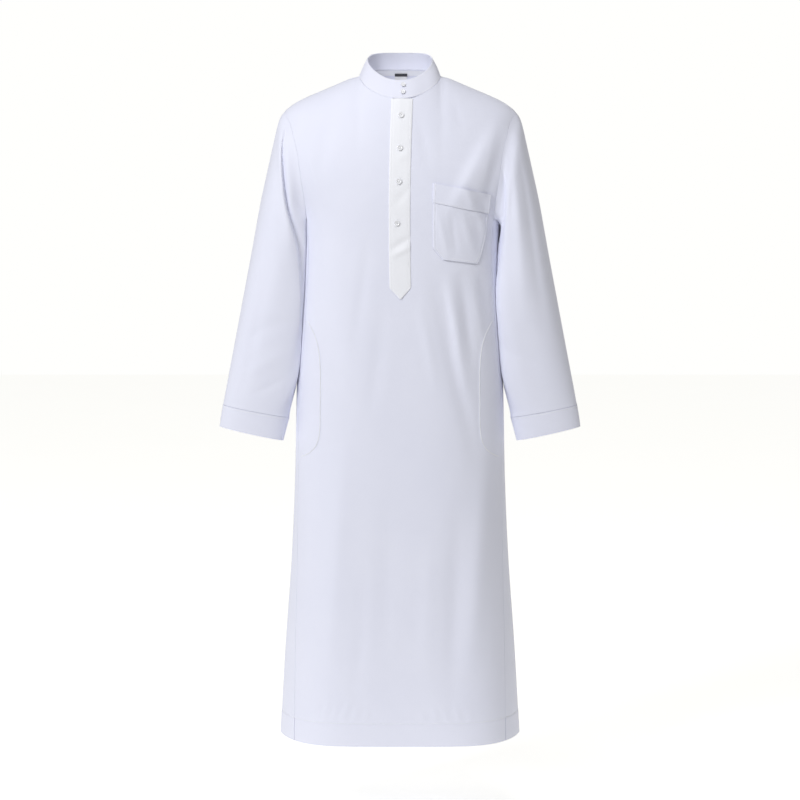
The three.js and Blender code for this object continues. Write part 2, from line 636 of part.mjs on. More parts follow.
// In-seam pocket bags, behind the front panel
const bagRows = [...SIDE_POCKET_ROWS].reverse().map(({ z, reach }) => {
  const edge = seamX(z) - BAG_INSET;
  return { leftX: edge - reach, leftZ: z, rightX: edge, rightZ: z };
});
const bag = patchGrid(-1, bagRows, BAG_COLUMNS, -CLOTH - BAG_LIFT);
add('side_pocket_left', wallGeometry(bag, CLOTH), CLOTH_LOOK);
const farRows = bagRows.map((row) => ({ ...row, leftX: -row.rightX, rightX: -row.leftX }));
const farBag = patchGrid(-1, farRows, BAG_COLUMNS, -CLOTH - BAG_LIFT);
add('side_pocket_right', wallGeometry(farBag, CLOTH), CLOTH_LOOK);

// Buttons
for (const { name, x, z } of PLACKET_BUTTONS) {
  const foot = offPanel(-1, x, z, PLACKET_LIFT + TRIM_CLOTH + LIFT);
  add(name, buttonGeometry(PLACKET_BUTTON, foot, bodyNormal(-1, x, z)), BUTTON_LOOK);
}
for (const { name, turn, share } of COLLAR_BUTTONS) {
  const here = collarPoint(turn * DEGREES, share);
  const across = collarPoint(turn * DEGREES + 0.01, share).sub(here);
  const up = collarPoint(turn * DEGREES, share + 0.1).sub(here);
  const normal = across.cross(up).normalize();
  const foot = here.addScaledVector(normal, COLLAR_CLOTH + SEAM_GAP + LIFT * 2);
  add(name, buttonGeometry(COLLAR_BUTTON, foot, normal), BUTTON_LOOK);
}

// Label inside the back neck
const labelRows = [LABEL.bottom, mix(LABEL.bottom, LABEL.top, 0.5), LABEL.top].map((z) => (
  { leftX: LABEL.x - LABEL.halfWidth, leftZ: z, rightX: LABEL.x + LABEL.halfWidth, rightZ: z }));
const label = patchGrid(1, labelRows, 4, -CLOTH - LIFT - LABEL.thickness);
add('neck_label', wallGeometry(label, LABEL.thickness), LABEL_LOOK);

export default kurta;
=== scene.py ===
# An ankle-length kurta of thobe cut, filled out with nobody in it: thin cloth shells with
# their folds, topstitching, sewn-through buttons and a plain neck label.
# Sizes are in millimetres, in the part's frame, and meshes are made in metres.
import math

import bpy
import numpy as np
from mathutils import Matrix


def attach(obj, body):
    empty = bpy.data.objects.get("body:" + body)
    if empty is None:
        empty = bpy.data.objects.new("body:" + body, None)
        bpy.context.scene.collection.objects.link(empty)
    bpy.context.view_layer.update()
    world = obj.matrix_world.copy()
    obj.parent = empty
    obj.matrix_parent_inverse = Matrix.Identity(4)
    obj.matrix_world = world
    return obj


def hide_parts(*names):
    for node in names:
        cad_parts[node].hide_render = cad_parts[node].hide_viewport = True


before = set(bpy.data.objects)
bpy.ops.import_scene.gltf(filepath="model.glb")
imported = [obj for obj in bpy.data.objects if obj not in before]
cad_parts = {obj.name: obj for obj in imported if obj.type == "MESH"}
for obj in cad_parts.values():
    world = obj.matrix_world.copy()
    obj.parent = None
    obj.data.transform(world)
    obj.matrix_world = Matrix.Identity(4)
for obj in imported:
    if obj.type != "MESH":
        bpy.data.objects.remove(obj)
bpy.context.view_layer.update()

MM = 0.001
DEGREES = math.pi / 180


def table(names, *rows):
    """The rows of a table, each with its columns' names."""
    return [dict(zip(names.split(), row)) for row in rows]


# Cloth and seams
CLOTH = 0.8
HEM_CLOTH = 1.7
CUFF_PROUD = 0.35
COLLAR_CLOTH = 2.0
PLACKET_CLOTH = 0.85
COLLAR_END_GAP = 2.4
SEAM_GAP = 0.35
GORE_GAP = 0.45
SLEEVE_GAP = 0.25
COLLAR_GAP = 0.2
BAG_GAP = 0.7

# Heights
HEM_Z = -1350
HEM_LINE_Z = HEM_Z + 47
HEM_PROUD = 0.5
HEM_EASE = 2
HEM_GROOVE = 0.35
HEM_GROOVE_WIDTH = 1.4
FLOOR_Z = -1520
ARMPIT_Z = -285
GORE_DIP = 14

# Neck
NECK_HALF_WIDTH = 82
NECK_Z = (-4.5, -32, -7.5)
COLLAR_TOP_HALF_WIDTH = 66
COLLAR_TOP_FRONT = 62
COLLAR_TOP_BACK = 42
COLLAR_TOP_Z = (30.8, -30.5, -7.2)
COLLAR_LAP = 11.25
LAP_EASE = 34
COLLAR_BOW = 1.2
COLLAR_WIDTH = 38
COLLAR_ROLL = 0.5
COLLAR_ROLL_WIDTH = 1.2
COLLAR_STITCH_INSET = 3.2
COLLAR_GROOVE = 0.35
COLLAR_GROOVE_WIDTH = 0.8

# Shoulder
SHOULDER_X = 232
SHOULDER_SEAM_ANGLE = 80
SHOULDER_GAP_ANGLE = 0.3
FOLD_FADE = 30
NECK_CORNER = 84.5 * DEGREES
CORNER_EASE = 35.5 * DEGREES
TURN_START = {-1: 48, 1: 35}
TURN_EASE = 20
PROBE = 0.5

# Points up the front and down the back of an armhole, and how the sleeve's head flows
# out of it: over how many rings, how strongly, and which way underneath
FRONT_RING_POINTS = 92
BACK_RING_POINTS = 52
HEAD_REACH = 1.5
HEAD_PULL = 0.9
HEAD_PASSES = 45
WAY_EASE = 90
UNDERARM_WAY = np.array([0.8, 0.0, -0.6])
# Where the sleeve lies against the body's side: how far it is pushed, at which
# bearings, and between which heights
SIDE_PUSH = 15
FRONT_PUSH = {"bearing": 222, "top": -245, "ease": 45}
OPEN_FRONT_PUSH = {"bearing": 222, "top": -315, "ease": 150}
BACK_PUSH = {"bearing": 318, "top": -245, "ease": 45}
PUSH_WIDTH = 24
PUSH_FOOT = -690
PUSH_EASE = 90

# Body sections, a row for each height: half width, depth in front and behind, the two
# powers of the section's curve, and where the gore seams lie as a share of the half width.
BODY_SECTIONS = table(
    "z half front back power side seam",
    (-1350, 249, 142, 136, 5.0, 1.35, 0.868),
    (-1166, 238, 134, 129, 4.4, 1.5, 0.90),
    (-990, 225, 127, 122, 3.9, 1.7, 0.935),
    (-823, 217, 122, 116, 3.4, 1.9, 0.96),
    (-650, 213, 118, 112, 3.1, 2.1, 0.965),
    (-500, 209, 117, 108, 2.9, 2.3, 0.92),
    (-285, 207, 120, 112, 2.7, 2.5, 0.91),
    (-180, 254, 121, 114, 2.6, 2.6, 0.91),
    (-60, 275, 121, 114, 2.6, 2.6, 0.91),
)

# Height of the shoulder ridge out from the neck
RIDGE = table(
    "x front back",
    (0, 46, 58),
    (31, 37, 50),
    (58, 23, 34),
    (71, 14, 21),
    (83, 4.5, 4.5),
    (100, 0, 0),
    (145, -19, -19),
    (190, -38, -38),
    (215, -51, -51),
    (240, -70, -70),
)

# Armhole seam as seen from the front
ARMHOLE = table(
    "z x",
    (-285, 188.4),
    (-250, 192),
    (-217, 197),
    (-185, 201.5),
    (-145, 208),
    (-96, 221),
    (-76, 230),
    (-62, 232),
)

# Sleeve rings from the shoulder down: outer and inner points, half depth, how far the
# middle lies forward, and the share of the full ring shape.
SLEEVE_RINGS = table(
    "ring outX outZ inX inZ deep ahead share",
    (0, 243, -80, 202, -305, 84, 3, 0.35),
    (1, 252, -106, 197, -322, 84, 3, 0.7),
    (2, 261, -144, 194, -345, 83, 3, 0.9),
    (3, 272, -195, 192.5, -376, 82, 4, 1),
    (4, 285, -253, 192, -413, 79, 5, 1),
    (5, 299, -330, 192.5, -459, 75, 7, 1),
    (6, 315, -414, 195, -512, 68, 9, 1),
    (7, 330, -492, 200.5, -564, 59, 11, 1),
    (8, 346.5, -578, 209.5, -619, 49, 14, 1),
    (9, 356, -626, 217, -650, 43, 16, 1),
    (10, 363, -664, 227, -690, 37, 18, 1),
)
CUFF_RINGS = table(
    "ring outX outZ inX inZ deep ahead",
    (0, 363.1, -664.6, 227.1, -690.6, 37, 18),
    (1, 367, -687, 233.5, -715, 34, 19),
    (2, 370, -709, 239.5, -738, 31, 20),
)
# The tuck down the front of each sleeve. Bearings go round the sleeve, with 90
# degrees at the top, 180 at the front and 270 underneath.
RIGHT_TUCK = table(
    "ring bearing depth",
    (-1, 112, 0),
    (0, 123, 3),
    (1, 141, 8),
    (2, 170, 11),
    (3, 200, 12),
    (4, 210, 10),
    (5, 216, 5),
    (6, 220, 2),
    (7, 222, 0),
)
LEFT_TUCK = table(
    "ring bearing depth",
    (-1, 168, 0),
    (0, 186, 4),
    (1, 200, 7),
    (2, 213, 8),
    (3, 222, 8),
    (4, 227, 6),
    (5, 230, 3),
    (6, 232, 0),
)
TUCK_EDGE = 4.5
TUCK_BACK = 26
TUCK_SWELL = 0.25
TUCK_SWELL_SETBACK = 12
TUCK_SWELL_WIDTH = 12
SLEEVE_POWER = 2.2
SLEEVE_CLEARANCE = 1.2
ARMHOLE_RISE = 117
ARMHOLE_REACH = 78

# Folds of the front and back, from one end to the other: a trough where the depth is
# negative and a ridge where it is positive. The first of each are the solid's own.
FRONT_FOLDS = table(
    "x0 z0 x1 z1 width depth",
    (222, -84, 112, -276, 25, 7),
    (62, -382, 158, -790, 15, -4),
    (96, -384, 134, -660, 13, 4),
    (120, -384, 148, -590, 12, -4),
    (160, -385, 198, -515, 12, -4),
    (176, -730, 146, -1210, 20, 5),
    (118, -840, 104, -1290, 20, -4),
    (-186, -290, -122, -640, 22, -3.5),
    (-112, -700, -152, -1250, 24, 4),
)
BACK_FOLDS = table(
    "x0 z0 x1 z1 width depth",
    (-216, -104, -86, -340, 24, 6.5),
    (214, -100, 98, -362, 25, 7),
    (-66, -340, -98, -880, 20, -4.5),
    (38, -400, 64, -1010, 24, 4.5),
    (122, -520, 150, -1190, 20, -4.5),
    (-134, -740, -160, -1270, 22, 4.5),
)
# Finer creases, by the same rule
FRONT_CREASES = table(
    "x0 z0 x1 z1 width depth",
    (-128, -30, -166, -210, 14, -1.6),
    (-205, -110, -150, -262, 13, 1.8),
    (-60, -300, -92, -560, 12, -1.3),
    (-30, -430, -60, -700, 16, -1.5),
    (30, -60, 60, -190, 12, -1.4),
    (98, -24, 128, -120, 9, -1.3),
    (208, -66, 84, -300, 13, 3),
    (232, -100, 158, -300, 14, -5),
    (38, -440, 76, -640, 12, 1.8),
    (80, -400, 112, -560, 8, -1.5),
    (145, -400, 176, -570, 9, 1.8),
    (60, -900, 52, -1240, 18, 1.6),
    (-20, -820, -34, -1200, 22, -1.6),
    (-70, -960, -92, -1290, 16, -1.5),
    (196, -930, 204, -1280, 9, -1.5),
)
BACK_CREASES = table(
    "x0 z0 x1 z1 width depth",
    (-40, -70, 44, -92, 12, -1.8),
    (150, -230, 40, -420, 13, -1.8),
    (-170, -260, -80, -470, 14, -2),
    (-20, -520, -8, -980, 18, -1.8),
    (96, -700, 104, -1290, 14, 1.8),
    (-60, -900, -76, -1300, 15, -1.8),
    (20, -1050, 28, -1310, 14, -1.5),
)
# Small slanting puckers that the hem's stitching draws up, by their lower end, their
# lean and their length
HEM_PUCKERS = table(
    "x lean length depth",
    (-176, 14, 40, 1.1),
    (-158, 18, 52, 1.3),
    (-139, 16, 44, 1.0),
    (-120, 20, 48, 1.3),
    (-98, 15, 34, 0.8),
    (-74, 13, 30, 0.7),
    (52, -9, 26, 0.6),
    (78, -12, 36, 0.9),
    (99, -12, 34, 0.9),
    (122, -10, 40, 1.0),
    (146, -8, 30, 0.8),
)
PUCKER_WIDTH = 5.5
PUCKER_BLUNTNESS = 0.7
# How the front swells over the side pockets' bags
POCKET_SEAM_INSET = 3
SWELL = 1.3
SWELL_EDGE = 2.6
SWELL_FADE = 7

# Placket, down its own middle line
PLACKET_HALF_WIDTH = 21.5
PLACKET_LINE = table(
    "z middle",
    (-444, 1),
    (-370, -0.5),
    (-246, -1),
    (-137, 1),
    (-44, 4.4),
)
PLACKET_TIP_Z = -444
PLACKET_SHOULDER_Z = -422
PLACKET_TIP_HALF_WIDTH = 1.5
PLACKET_TOP_Z = -46
PLACKET_SEAM_Z = -374
PLACKET_CREASES = table(
    "x0 z0 x1 z1 width depth",
    (-24, -362, 26, -338, 6, 2.0),
    (-24, -348, 30, -316, 6, -1.6),
    (-16, -262, 26, -216, 8, -1.2),
    (-12, -170, 26, -150, 7, 0.8),
)

# Chest pocket, a row for each level from its top edge down
POCKET_ROWS = table(
    "level leftX leftZ rightX rightZ",
    (0, 66, -252.6, 178.6, -275.6),
    (1, 65.3, -282, 175.6, -303),
    (2, 65.3, -312, 171.5, -329),
    (3, 65.8, -342, 165.6, -353),
    (4, 76, -354.5, 161, -364.6),
    (5, 86.5, -366, 155, -374.5),
)
POCKET_BAND_ROWS = table(
    "level leftX leftZ rightX rightZ",
    (0, 66.4, -213.5, 184, -235.7),
    (1, 65.8, -233, 181.8, -255.5),
    (2, 65.2, -252, 179.6, -275),
)

# How the placket and the chest pocket stand off the front: how far at their edges, how
# much further within, over what rolled edge, and the grooves of their stitch lines
PATCH_OFF = 1.1
PLACKET_RISE = 1.0
PLACKET_GROOVE = 0.35
PLACKET_SEAM_GROOVE = 0.5
PLACKET_LINE_SHARES = (0.1, 0.9)
PLACKET_LINE_WIDTH = 0.035
GROOVE_WIDTH = 1.6
POCKET_WIDTH = 105
POCKET_RISE = 1.2
POCKET_ROLL = 1.7
POCKET_GROOVE = 0.5
POCKET_STITCH_INSET = 4.2
POCKET_SIDE_LEVEL = 3
POCKET_GAPE = 1.2
POCKET_GAPE_FOOT = -330
POCKET_GAPE_EASE = 70
BAND_WIDTH = 116
BAND_OFF = 2.2
BAND_RISE = 0.9
BAND_ROLL = 2.4

# Side pocket bag, from its top to its bottom: how far in from the gore seam it reaches
SIDE_POCKET_ROWS = table(
    "z reach",
    (-490, 3),
    (-505, 12),
    (-520, 20),
    (-548, 30),
    (-600, 39),
    (-660, 43),
    (-715, 43),
    (-742, 36),
    (-758, 22),
    (-768, 5),
)

# Buttons
PLACKET_BUTTON = {"radius": 5.8, "thickness": 2.4, "off": 2.7}
COLLAR_BUTTON = {"radius": 5, "thickness": 2, "off": 3.75}
COLLAR_BUTTONS = table(
    "name turn share",
    ("button_collar_1", 5, 0.69),
    ("button_collar_2", 4.2, 0.31),
)
PLACKET_BUTTONS = table(
    "name x z",
    ("button_placket_1", 2, -78.3),
    ("button_placket_2", 0, -143.4),
    ("button_placket_3", -2, -209.8),
    ("button_placket_4", -6, -292.4),
)

# Tape over the seam inside the back neck, by its bearings round the neck, and the label
# sewn over it with a dark tape along its top
NECK_TAPE = {"from": 128, "to": 232, "top": 0.8, "foot": 10.8, "off": 0.25, "thickness": 0.5}
LABEL = {"x": 2, "half_width": 13, "top": 13, "bottom": -17, "off": 1.1, "thickness": 0.7}
LABEL_TAPE = {"below": 5.2, "above": 0.6, "off": 0.1, "thickness": 0.35}

# The part's own columns, which place the seams, and how finely each is divided here
NECK_COLUMNS = 8
SHOULDER_COLUMNS = 7
EDGE_COLUMN = NECK_COLUMNS + SHOULDER_COLUMNS
FINE_COLUMNS = 5
LOWER_ROWS = 165
FINE_UPPER_ROWS = 54
GORE_COLUMNS = 24
GORE_DIP_ROWS = 8
PLACKET_COLUMNS = 28
POCKET_LEVELS = 62
POCKET_COLUMNS = 76
BAND_LEVELS = 20
BAG_COLUMNS = 16
CUFF_STITCH_ROW = -3
SEAM_ALLOWANCE = 5
ALLOWANCE_CLEARANCE = 0.35
SLEEVE_ROWS = 118
COLLAR_COLUMNS = 281
COLLAR_LEVELS = [0, 0.02, 0.05, *np.linspace(0.1, 0.9, 11), 0.95, 0.975, 0.99, 1]
CUFF_PLACES = [2, 1.985, 1.95, 1.85, 1.6, 1.3, 1, 0.7, 0.4, 0.15, 0.05, 0.02, 0]
CUFF_STITCH_PLACES = np.linspace(2, 0, 30)


# ---------------- tables and curves

def curve(rows, key, column):
    """Reads one column of a table at places along another, smoothly between its rows."""
    ordered = sorted(rows, key=lambda row: row[key])
    places = np.array([row[key] for row in ordered], float)
    values = np.array([row[column] for row in ordered], float)
    slopes = np.empty_like(values)
    slopes[1:-1] = (values[2:] - values[:-2]) / (places[2:] - places[:-2])
    slopes[0] = (values[1] - values[0]) / (places[1] - places[0])
    slopes[-1] = (values[-1] - values[-2]) / (places[-1] - places[-2])

    def read(place):
        place = np.clip(place, places[0], places[-1])
        after = np.clip(np.searchsorted(places, place, side="right"), 1, len(places) - 1)
        before = after - 1
        step = places[after] - places[before]
        t = (place - places[before]) / step
        return (values[before] * (2 * t**3 - 3 * t**2 + 1) + values[after] * (3 * t**2 - 2 * t**3)
                + step * slopes[before] * (t**3 - 2 * t**2 + t) + step * slopes[after] * (t**3 - t**2))

    return read


section = {name: curve(BODY_SECTIONS, "z", name)
           for name in ("half", "front", "back", "power", "side", "seam")}
ridge_height = {-1: curve(RIDGE, "x", "front"), 1: curve(RIDGE, "x", "back")}
armhole_x = curve(ARMHOLE, "z", "x")
placket_middle = curve(PLACKET_LINE, "z", "middle")
pocket_reach = curve(SIDE_POCKET_ROWS, "z", "reach")


def mix(start, end, share):
    return start + (end - start) * share


def xyz(x, y, z):
    return np.stack([x, y, z], -1)


def outward_at(turn):
    """The way out from the neck at bearings round it, from the front middle."""
    return xyz(np.sin(turn), -np.cos(turn), 0 * turn)


def along_line(places, run, line):
    """Points at places along a line, from the distance run at each of its own points."""
    return xyz(*(np.interp(places, run, line[:, axis]) for axis in range(3)))


def ridge(offset, width):
    """A soft ridge of height 1, by the distance from its middle line."""
    return np.exp(-((offset / width) ** 2))


def smooth(share):
    share = np.clip(share, 0, 1)
    return share * share * (3 - 2 * share)


def seam_x(z):
    return section["half"](z) * section["seam"](z)


def ring_z(heights, turn):
    return heights[0] + heights[1] * np.cos(turn) + heights[2] * np.cos(2 * turn)


# ---------------- the body's surface

def fold_lift(folds, x, z):
    """How far the folds lift the cloth at points seen from the front."""
    lift = np.zeros(np.broadcast(x, z).shape)
    for fold in folds:
        run_x = fold["x1"] - fold["x0"]
        run_z = fold["z1"] - fold["z0"]
        length = math.hypot(run_x, run_z)
        along = ((x - fold["x0"]) * run_x + (z - fold["z0"]) * run_z) / length**2
        aside = ((x - fold["x0"]) * run_z - (z - fold["z0"]) * run_x) / length
        ease = np.sin(np.clip(along, 0, 1) * math.pi)
        lift += fold["depth"] * ease * ridge(aside, fold["width"])
    return lift


def pucker_lift(x, z):
    """Short slanting ridges standing on the hem's stitch line."""
    lift = np.zeros(np.broadcast(x, z).shape)
    above = z - HEM_LINE_Z
    for pucker in HEM_PUCKERS:
        along = np.clip(above / pucker["length"], 0, 1)
        aside = x - pucker["x"] - pucker["lean"] * along
        rise = np.sin(math.pi * along) ** PUCKER_BLUNTNESS
        lift += pucker["depth"] * rise * ridge(aside, PUCKER_WIDTH)
    return lift


def fade_to_seam(x, z):
    edge = np.where(z > ARMPIT_Z, armhole_x(z), seam_x(z))
    return smooth((edge - np.abs(x)) / FOLD_FADE)


def pocket_swell(x, z):
    """How far the front stands out where a side pocket's bag lies behind it."""
    edge = seam_x(z) - POCKET_SEAM_INSET
    inside = smooth((np.abs(x) - edge + pocket_reach(z)) / SWELL_EDGE + 0.5)
    between = (z < SIDE_POCKET_ROWS[0]["z"]) & (z > SIDE_POCKET_ROWS[-1]["z"])
    return SWELL * inside * between * smooth((edge - np.abs(x)) / SWELL_FADE)


def body_reach(side, x, z):
    """How far out the body's surface would stand at points if it didn't close in over
    the shoulders. Folds and the hem's puckers are in it."""
    depth = section["front" if side < 0 else "back"](z)
    across = np.minimum(np.abs(x) / section["half"](z), 1)
    round_off = np.maximum(1 - across ** section["power"](z), 0) ** (1 / section["side"](z))
    lift = fold_lift(FRONT_FOLDS + FRONT_CREASES if side < 0 else BACK_FOLDS + BACK_CREASES, x, z)
    swell = pocket_swell(x, z) if side < 0 else 0
    return depth * round_off + (lift + pucker_lift(x, z)) * fade_to_seam(x, z) + swell


def body_y(side, x, z):
    """Depth of the body's surface; side is -1 for the front and 1 for the back."""
    x = np.asarray(x, float)
    z = np.asarray(z, float)
    top = ridge_height[side](np.abs(x))
    climb = np.clip((z - ARMPIT_Z) / (top - ARMPIT_Z), 0, 1)
    return side * body_reach(side, x, z) * np.sqrt(1 - climb * climb)


def body_x(y, z):
    """Half width of the body at a depth, below the armpit."""
    depth = np.where(y < 0, section["front"](z), section["back"](z))
    inward = np.minimum(np.abs(y) / depth, 1) ** section["side"](z)
    return section["half"](z) * (1 - inward) ** (1 / section["power"](z))


def body_normal(side, x, z):
    slope_x = (body_y(side, x + PROBE, z) - body_y(side, x - PROBE, z)) / (2 * PROBE)
    slope_z = (body_y(side, x, z + PROBE) - body_y(side, x, z - PROBE)) / (2 * PROBE)
    normal = side * xyz(-slope_x, np.ones_like(slope_x), -slope_z)
    return normal / np.linalg.norm(normal, axis=-1, keepdims=True)


def off_panel(side, x, z, distance):
    """Points off the body's surface: outside it where the distance is positive."""
    x = np.asarray(x, float)
    z = np.asarray(z, float) + 0 * x
    x = x + 0 * z
    place = xyz(x, body_y(side, x, z), z)
    return place + body_normal(side, x, z) * np.asarray(distance, float)[..., None]


# ---------------- meshes

def unit(vectors):
    return vectors / np.maximum(np.linalg.norm(vectors, axis=-1, keepdims=True), 1e-9)


def grid_normals(grid, tube):
    if tube:
        across = np.roll(grid, -1, 1) - np.roll(grid, 1, 1)
    else:
        across = np.gradient(grid, axis=1)
    return unit(np.cross(across, np.gradient(grid, axis=0)))


def run_lengths(grid, axis):
    """Distance run along a grid's rows or columns, for cloth coordinates."""
    steps = np.linalg.norm(np.diff(grid, axis=axis), axis=-1)
    steps = np.insert(steps, 0, 0, axis=axis)
    return np.cumsum(steps, axis=axis)


def mesh_object(name, points, faces, uvs=None):
    mesh = bpy.data.meshes.new(name)
    mesh.from_pydata((np.asarray(points) * MM).tolist(), [], faces)
    if uvs is not None:
        layer = mesh.uv_layers.new(name="cloth")
        loops = np.empty(len(mesh.loops), dtype=np.int32)
        mesh.loops.foreach_get("vertex_index", loops)
        layer.data.foreach_set("uv", (np.asarray(uvs) * MM)[loops].ravel())
    mesh.polygons.foreach_set("use_smooth", [True] * len(mesh.polygons))
    mesh.update()
    piece = bpy.data.objects.new(name, mesh)
    bpy.context.scene.collection.objects.link(piece)
    return piece


def wall(name, outer, thickness, tube=False):
    """A closed thin wall from a grid of outer points. Rows run up, and columns run round
    anticlockwise as seen from above."""
    rows, columns = outer.shape[:2]
    inner = outer - grid_normals(outer, tube) * np.broadcast_to(thickness, (rows, columns))[..., None]
    count = rows * columns
    index = np.arange(count).reshape(rows, columns)
    right = np.roll(index, -1, 1) if tube else index[:, 1:]
    left = index if tube else index[:, :-1]

    def quads(a, b, c, d):
        return np.stack([a, b, c, d], -1).reshape(-1, 4)

    faces = [
        quads(left[:-1], right[:-1], right[1:], left[1:]),
        quads(left[:-1] + count, left[1:] + count, right[1:] + count, right[:-1] + count),
        quads(left[0], left[0] + count, right[0] + count, right[0]),
        quads(left[-1], right[-1], right[-1] + count, left[-1] + count),
    ]
    if not tube:
        faces.append(quads(index[:-1, 0], index[1:, 0], index[1:, 0] + count, index[:-1, 0] + count))
        faces.append(quads(index[:-1, -1], index[:-1, -1] + count, index[1:, -1] + count, index[1:, -1]))
    points = np.concatenate([outer.reshape(-1, 3), inner.reshape(-1, 3)])
    across = run_lengths(outer, 1)
    across = across - across[:, columns // 2:columns // 2 + 1]
    uvs = np.stack([across, run_lengths(outer, 0)], -1).reshape(-1, 2)
    return mesh_object(name, points, np.concatenate(faces).tolist(), np.concatenate([uvs, uvs]))


def mirror(grid):
    return grid[:, ::-1] * np.array([-1, 1, 1])


# ---------------- panels

def lower_heights():
    """Heights below the armpit, closer at the hem's edge and its stitch line."""
    hem = [HEM_Z, HEM_Z + 1, HEM_Z + 3, *np.linspace(HEM_Z + 8, HEM_LINE_Z - 5, 6)]
    line = [HEM_LINE_Z + step for step in (-2.5, -1, 0, 1)]
    return np.array([*hem, *line, *np.linspace(HEM_LINE_Z + 3, ARMPIT_Z, LOWER_ROWS)])


LOWER = lower_heights()


def hem_step(z):
    """How far the turned-up hem stands proud of the cloth above its stitch line, with the
    groove that the stitches pull."""
    below = HEM_LINE_Z - z
    return HEM_PROUD * smooth(below / HEM_EASE) - HEM_GROOVE * ridge(below, HEM_GROOVE_WIDTH)


def column_top(side, column):
    """Where a panel's column ends: on the neckline, or on the shoulder seam beyond it.
    The last number is the bearing round the neck."""
    share = np.abs(column) / NECK_COLUMNS
    turn = mix(0 if side < 0 else math.pi, NECK_CORNER, np.minimum(share, 1))
    neck_x = NECK_HALF_WIDTH * np.sin(turn)
    neck_z = ring_z(NECK_Z, turn) - SEAM_GAP
    corner_x = NECK_HALF_WIDTH * math.sin(NECK_CORNER)
    shoulder_x = mix(corner_x, SHOULDER_X, np.maximum(share - 1, 0) * NECK_COLUMNS / SHOULDER_COLUMNS)
    rise = math.sin(SHOULDER_SEAM_ANGLE * DEGREES)
    shoulder_z = mix(ARMPIT_Z, ridge_height[-1](shoulder_x), rise)
    on_neck = share < 1 - 1e-6
    return np.where(on_neck, neck_x, shoulder_x), np.where(on_neck, neck_z, shoulder_z), turn


def upper_point(side, column, climb):
    """Points of a panel above the armpit. Each column climbs through a part of a turn
    over the shoulder, and the back's pass over the ridge to the seam on the front."""
    column, climb = np.broadcast_arrays(np.asarray(column, float), np.asarray(climb, float))
    top_x, top_z, bearing = column_top(side, column)
    rise = (top_z - ARMPIT_Z) / (ridge_height[side](top_x) - ARMPIT_Z)
    full_turn = np.arcsin(np.minimum(rise, 1))
    if side > 0:
        seam_turn = math.pi - (SHOULDER_SEAM_ANGLE + SHOULDER_GAP_ANGLE) * DEGREES
        full_turn = mix(seam_turn, full_turn, smooth((bearing - NECK_CORNER) / CORNER_EASE))
    crest = ARMPIT_Z + (top_z - ARMPIT_Z) / np.sin(full_turn)
    turn = full_turn * climb
    past = turn > math.pi / 2
    z = mix(ARMPIT_Z, crest, np.sin(turn))
    level = np.where(past, 1, np.sin(turn) / np.sin(np.minimum(full_turn, math.pi / 2)))
    out = np.abs(column) / EDGE_COLUMN
    bend = armhole_x(z) - mix(seam_x(ARMPIT_Z), SHOULDER_X, level)
    x = np.sign(column) * (mix(seam_x(ARMPIT_Z) * out, top_x, level) + bend * out**4)
    reach = np.where(past, body_reach(-1, x, z), body_reach(side, x, z))
    turned = side * reach * np.cos(turn)
    near_top = smooth((turn / DEGREES - TURN_START[side]) / TURN_EASE)
    return xyz(x, mix(body_y(side, x, z), turned, near_top), z)


def panel_grid(side):
    column = np.linspace(-EDGE_COLUMN, EDGE_COLUMN, 2 * EDGE_COLUMN * FINE_COLUMNS + 1)
    z = LOWER[:-1, None] + 0 * column
    x = seam_x(z) * column / EDGE_COLUMN
    y = body_y(side, x, z) + side * hem_step(z)
    lower = xyz(x, y, z)
    climb = np.linspace(0, 1, FINE_UPPER_ROWS + 1)[:, None]
    grid = np.concatenate([lower, upper_point(side, column, climb)])
    return grid if side < 0 else grid[:, ::-1]


def cloth_thickness(grid):
    """Two layers where the hem is turned up, one above it."""
    z = grid[..., 2]
    return mix(CLOTH, HEM_CLOTH, smooth((HEM_LINE_Z - z) / HEM_EASE))


def gore_grid():
    """The +X side's gore, from its front seam round to its back seam."""
    share = np.linspace(0, 1, GORE_COLUMNS + 1)
    z = LOWER[:, None] + 0 * share
    front = body_y(-1, seam_x(z), z) + GORE_GAP
    back = body_y(1, seam_x(z), z) - GORE_GAP
    y = mix(front, back, share)
    foot = LOWER[-GORE_DIP_ROWS]
    z = z - GORE_DIP * np.sin(share * math.pi) * smooth((z - foot) / (LOWER[-1] - foot))
    return xyz(body_x(y, z) + hem_step(z), y, z)


def with_allowance(gore):
    """The gore with a narrow allowance along both seams, lying inside the panels."""
    z = gore[:, 0, 2]
    depth = cloth_thickness(gore)[:, 0] - hem_step(z) + ALLOWANCE_CLEARANCE
    strips = {}
    for side in (-1, 1):
        lines = []
        for inset in (0, SEAM_ALLOWANCE):
            x = seam_x(z) - inset
            lines.append(xyz(x, body_y(side, x, z) - side * depth, z))
        strips[side] = np.stack(lines, 1)
    return np.concatenate([strips[-1][:, ::-1], gore, strips[1]], 1)


# ---------------- sleeves and cuffs

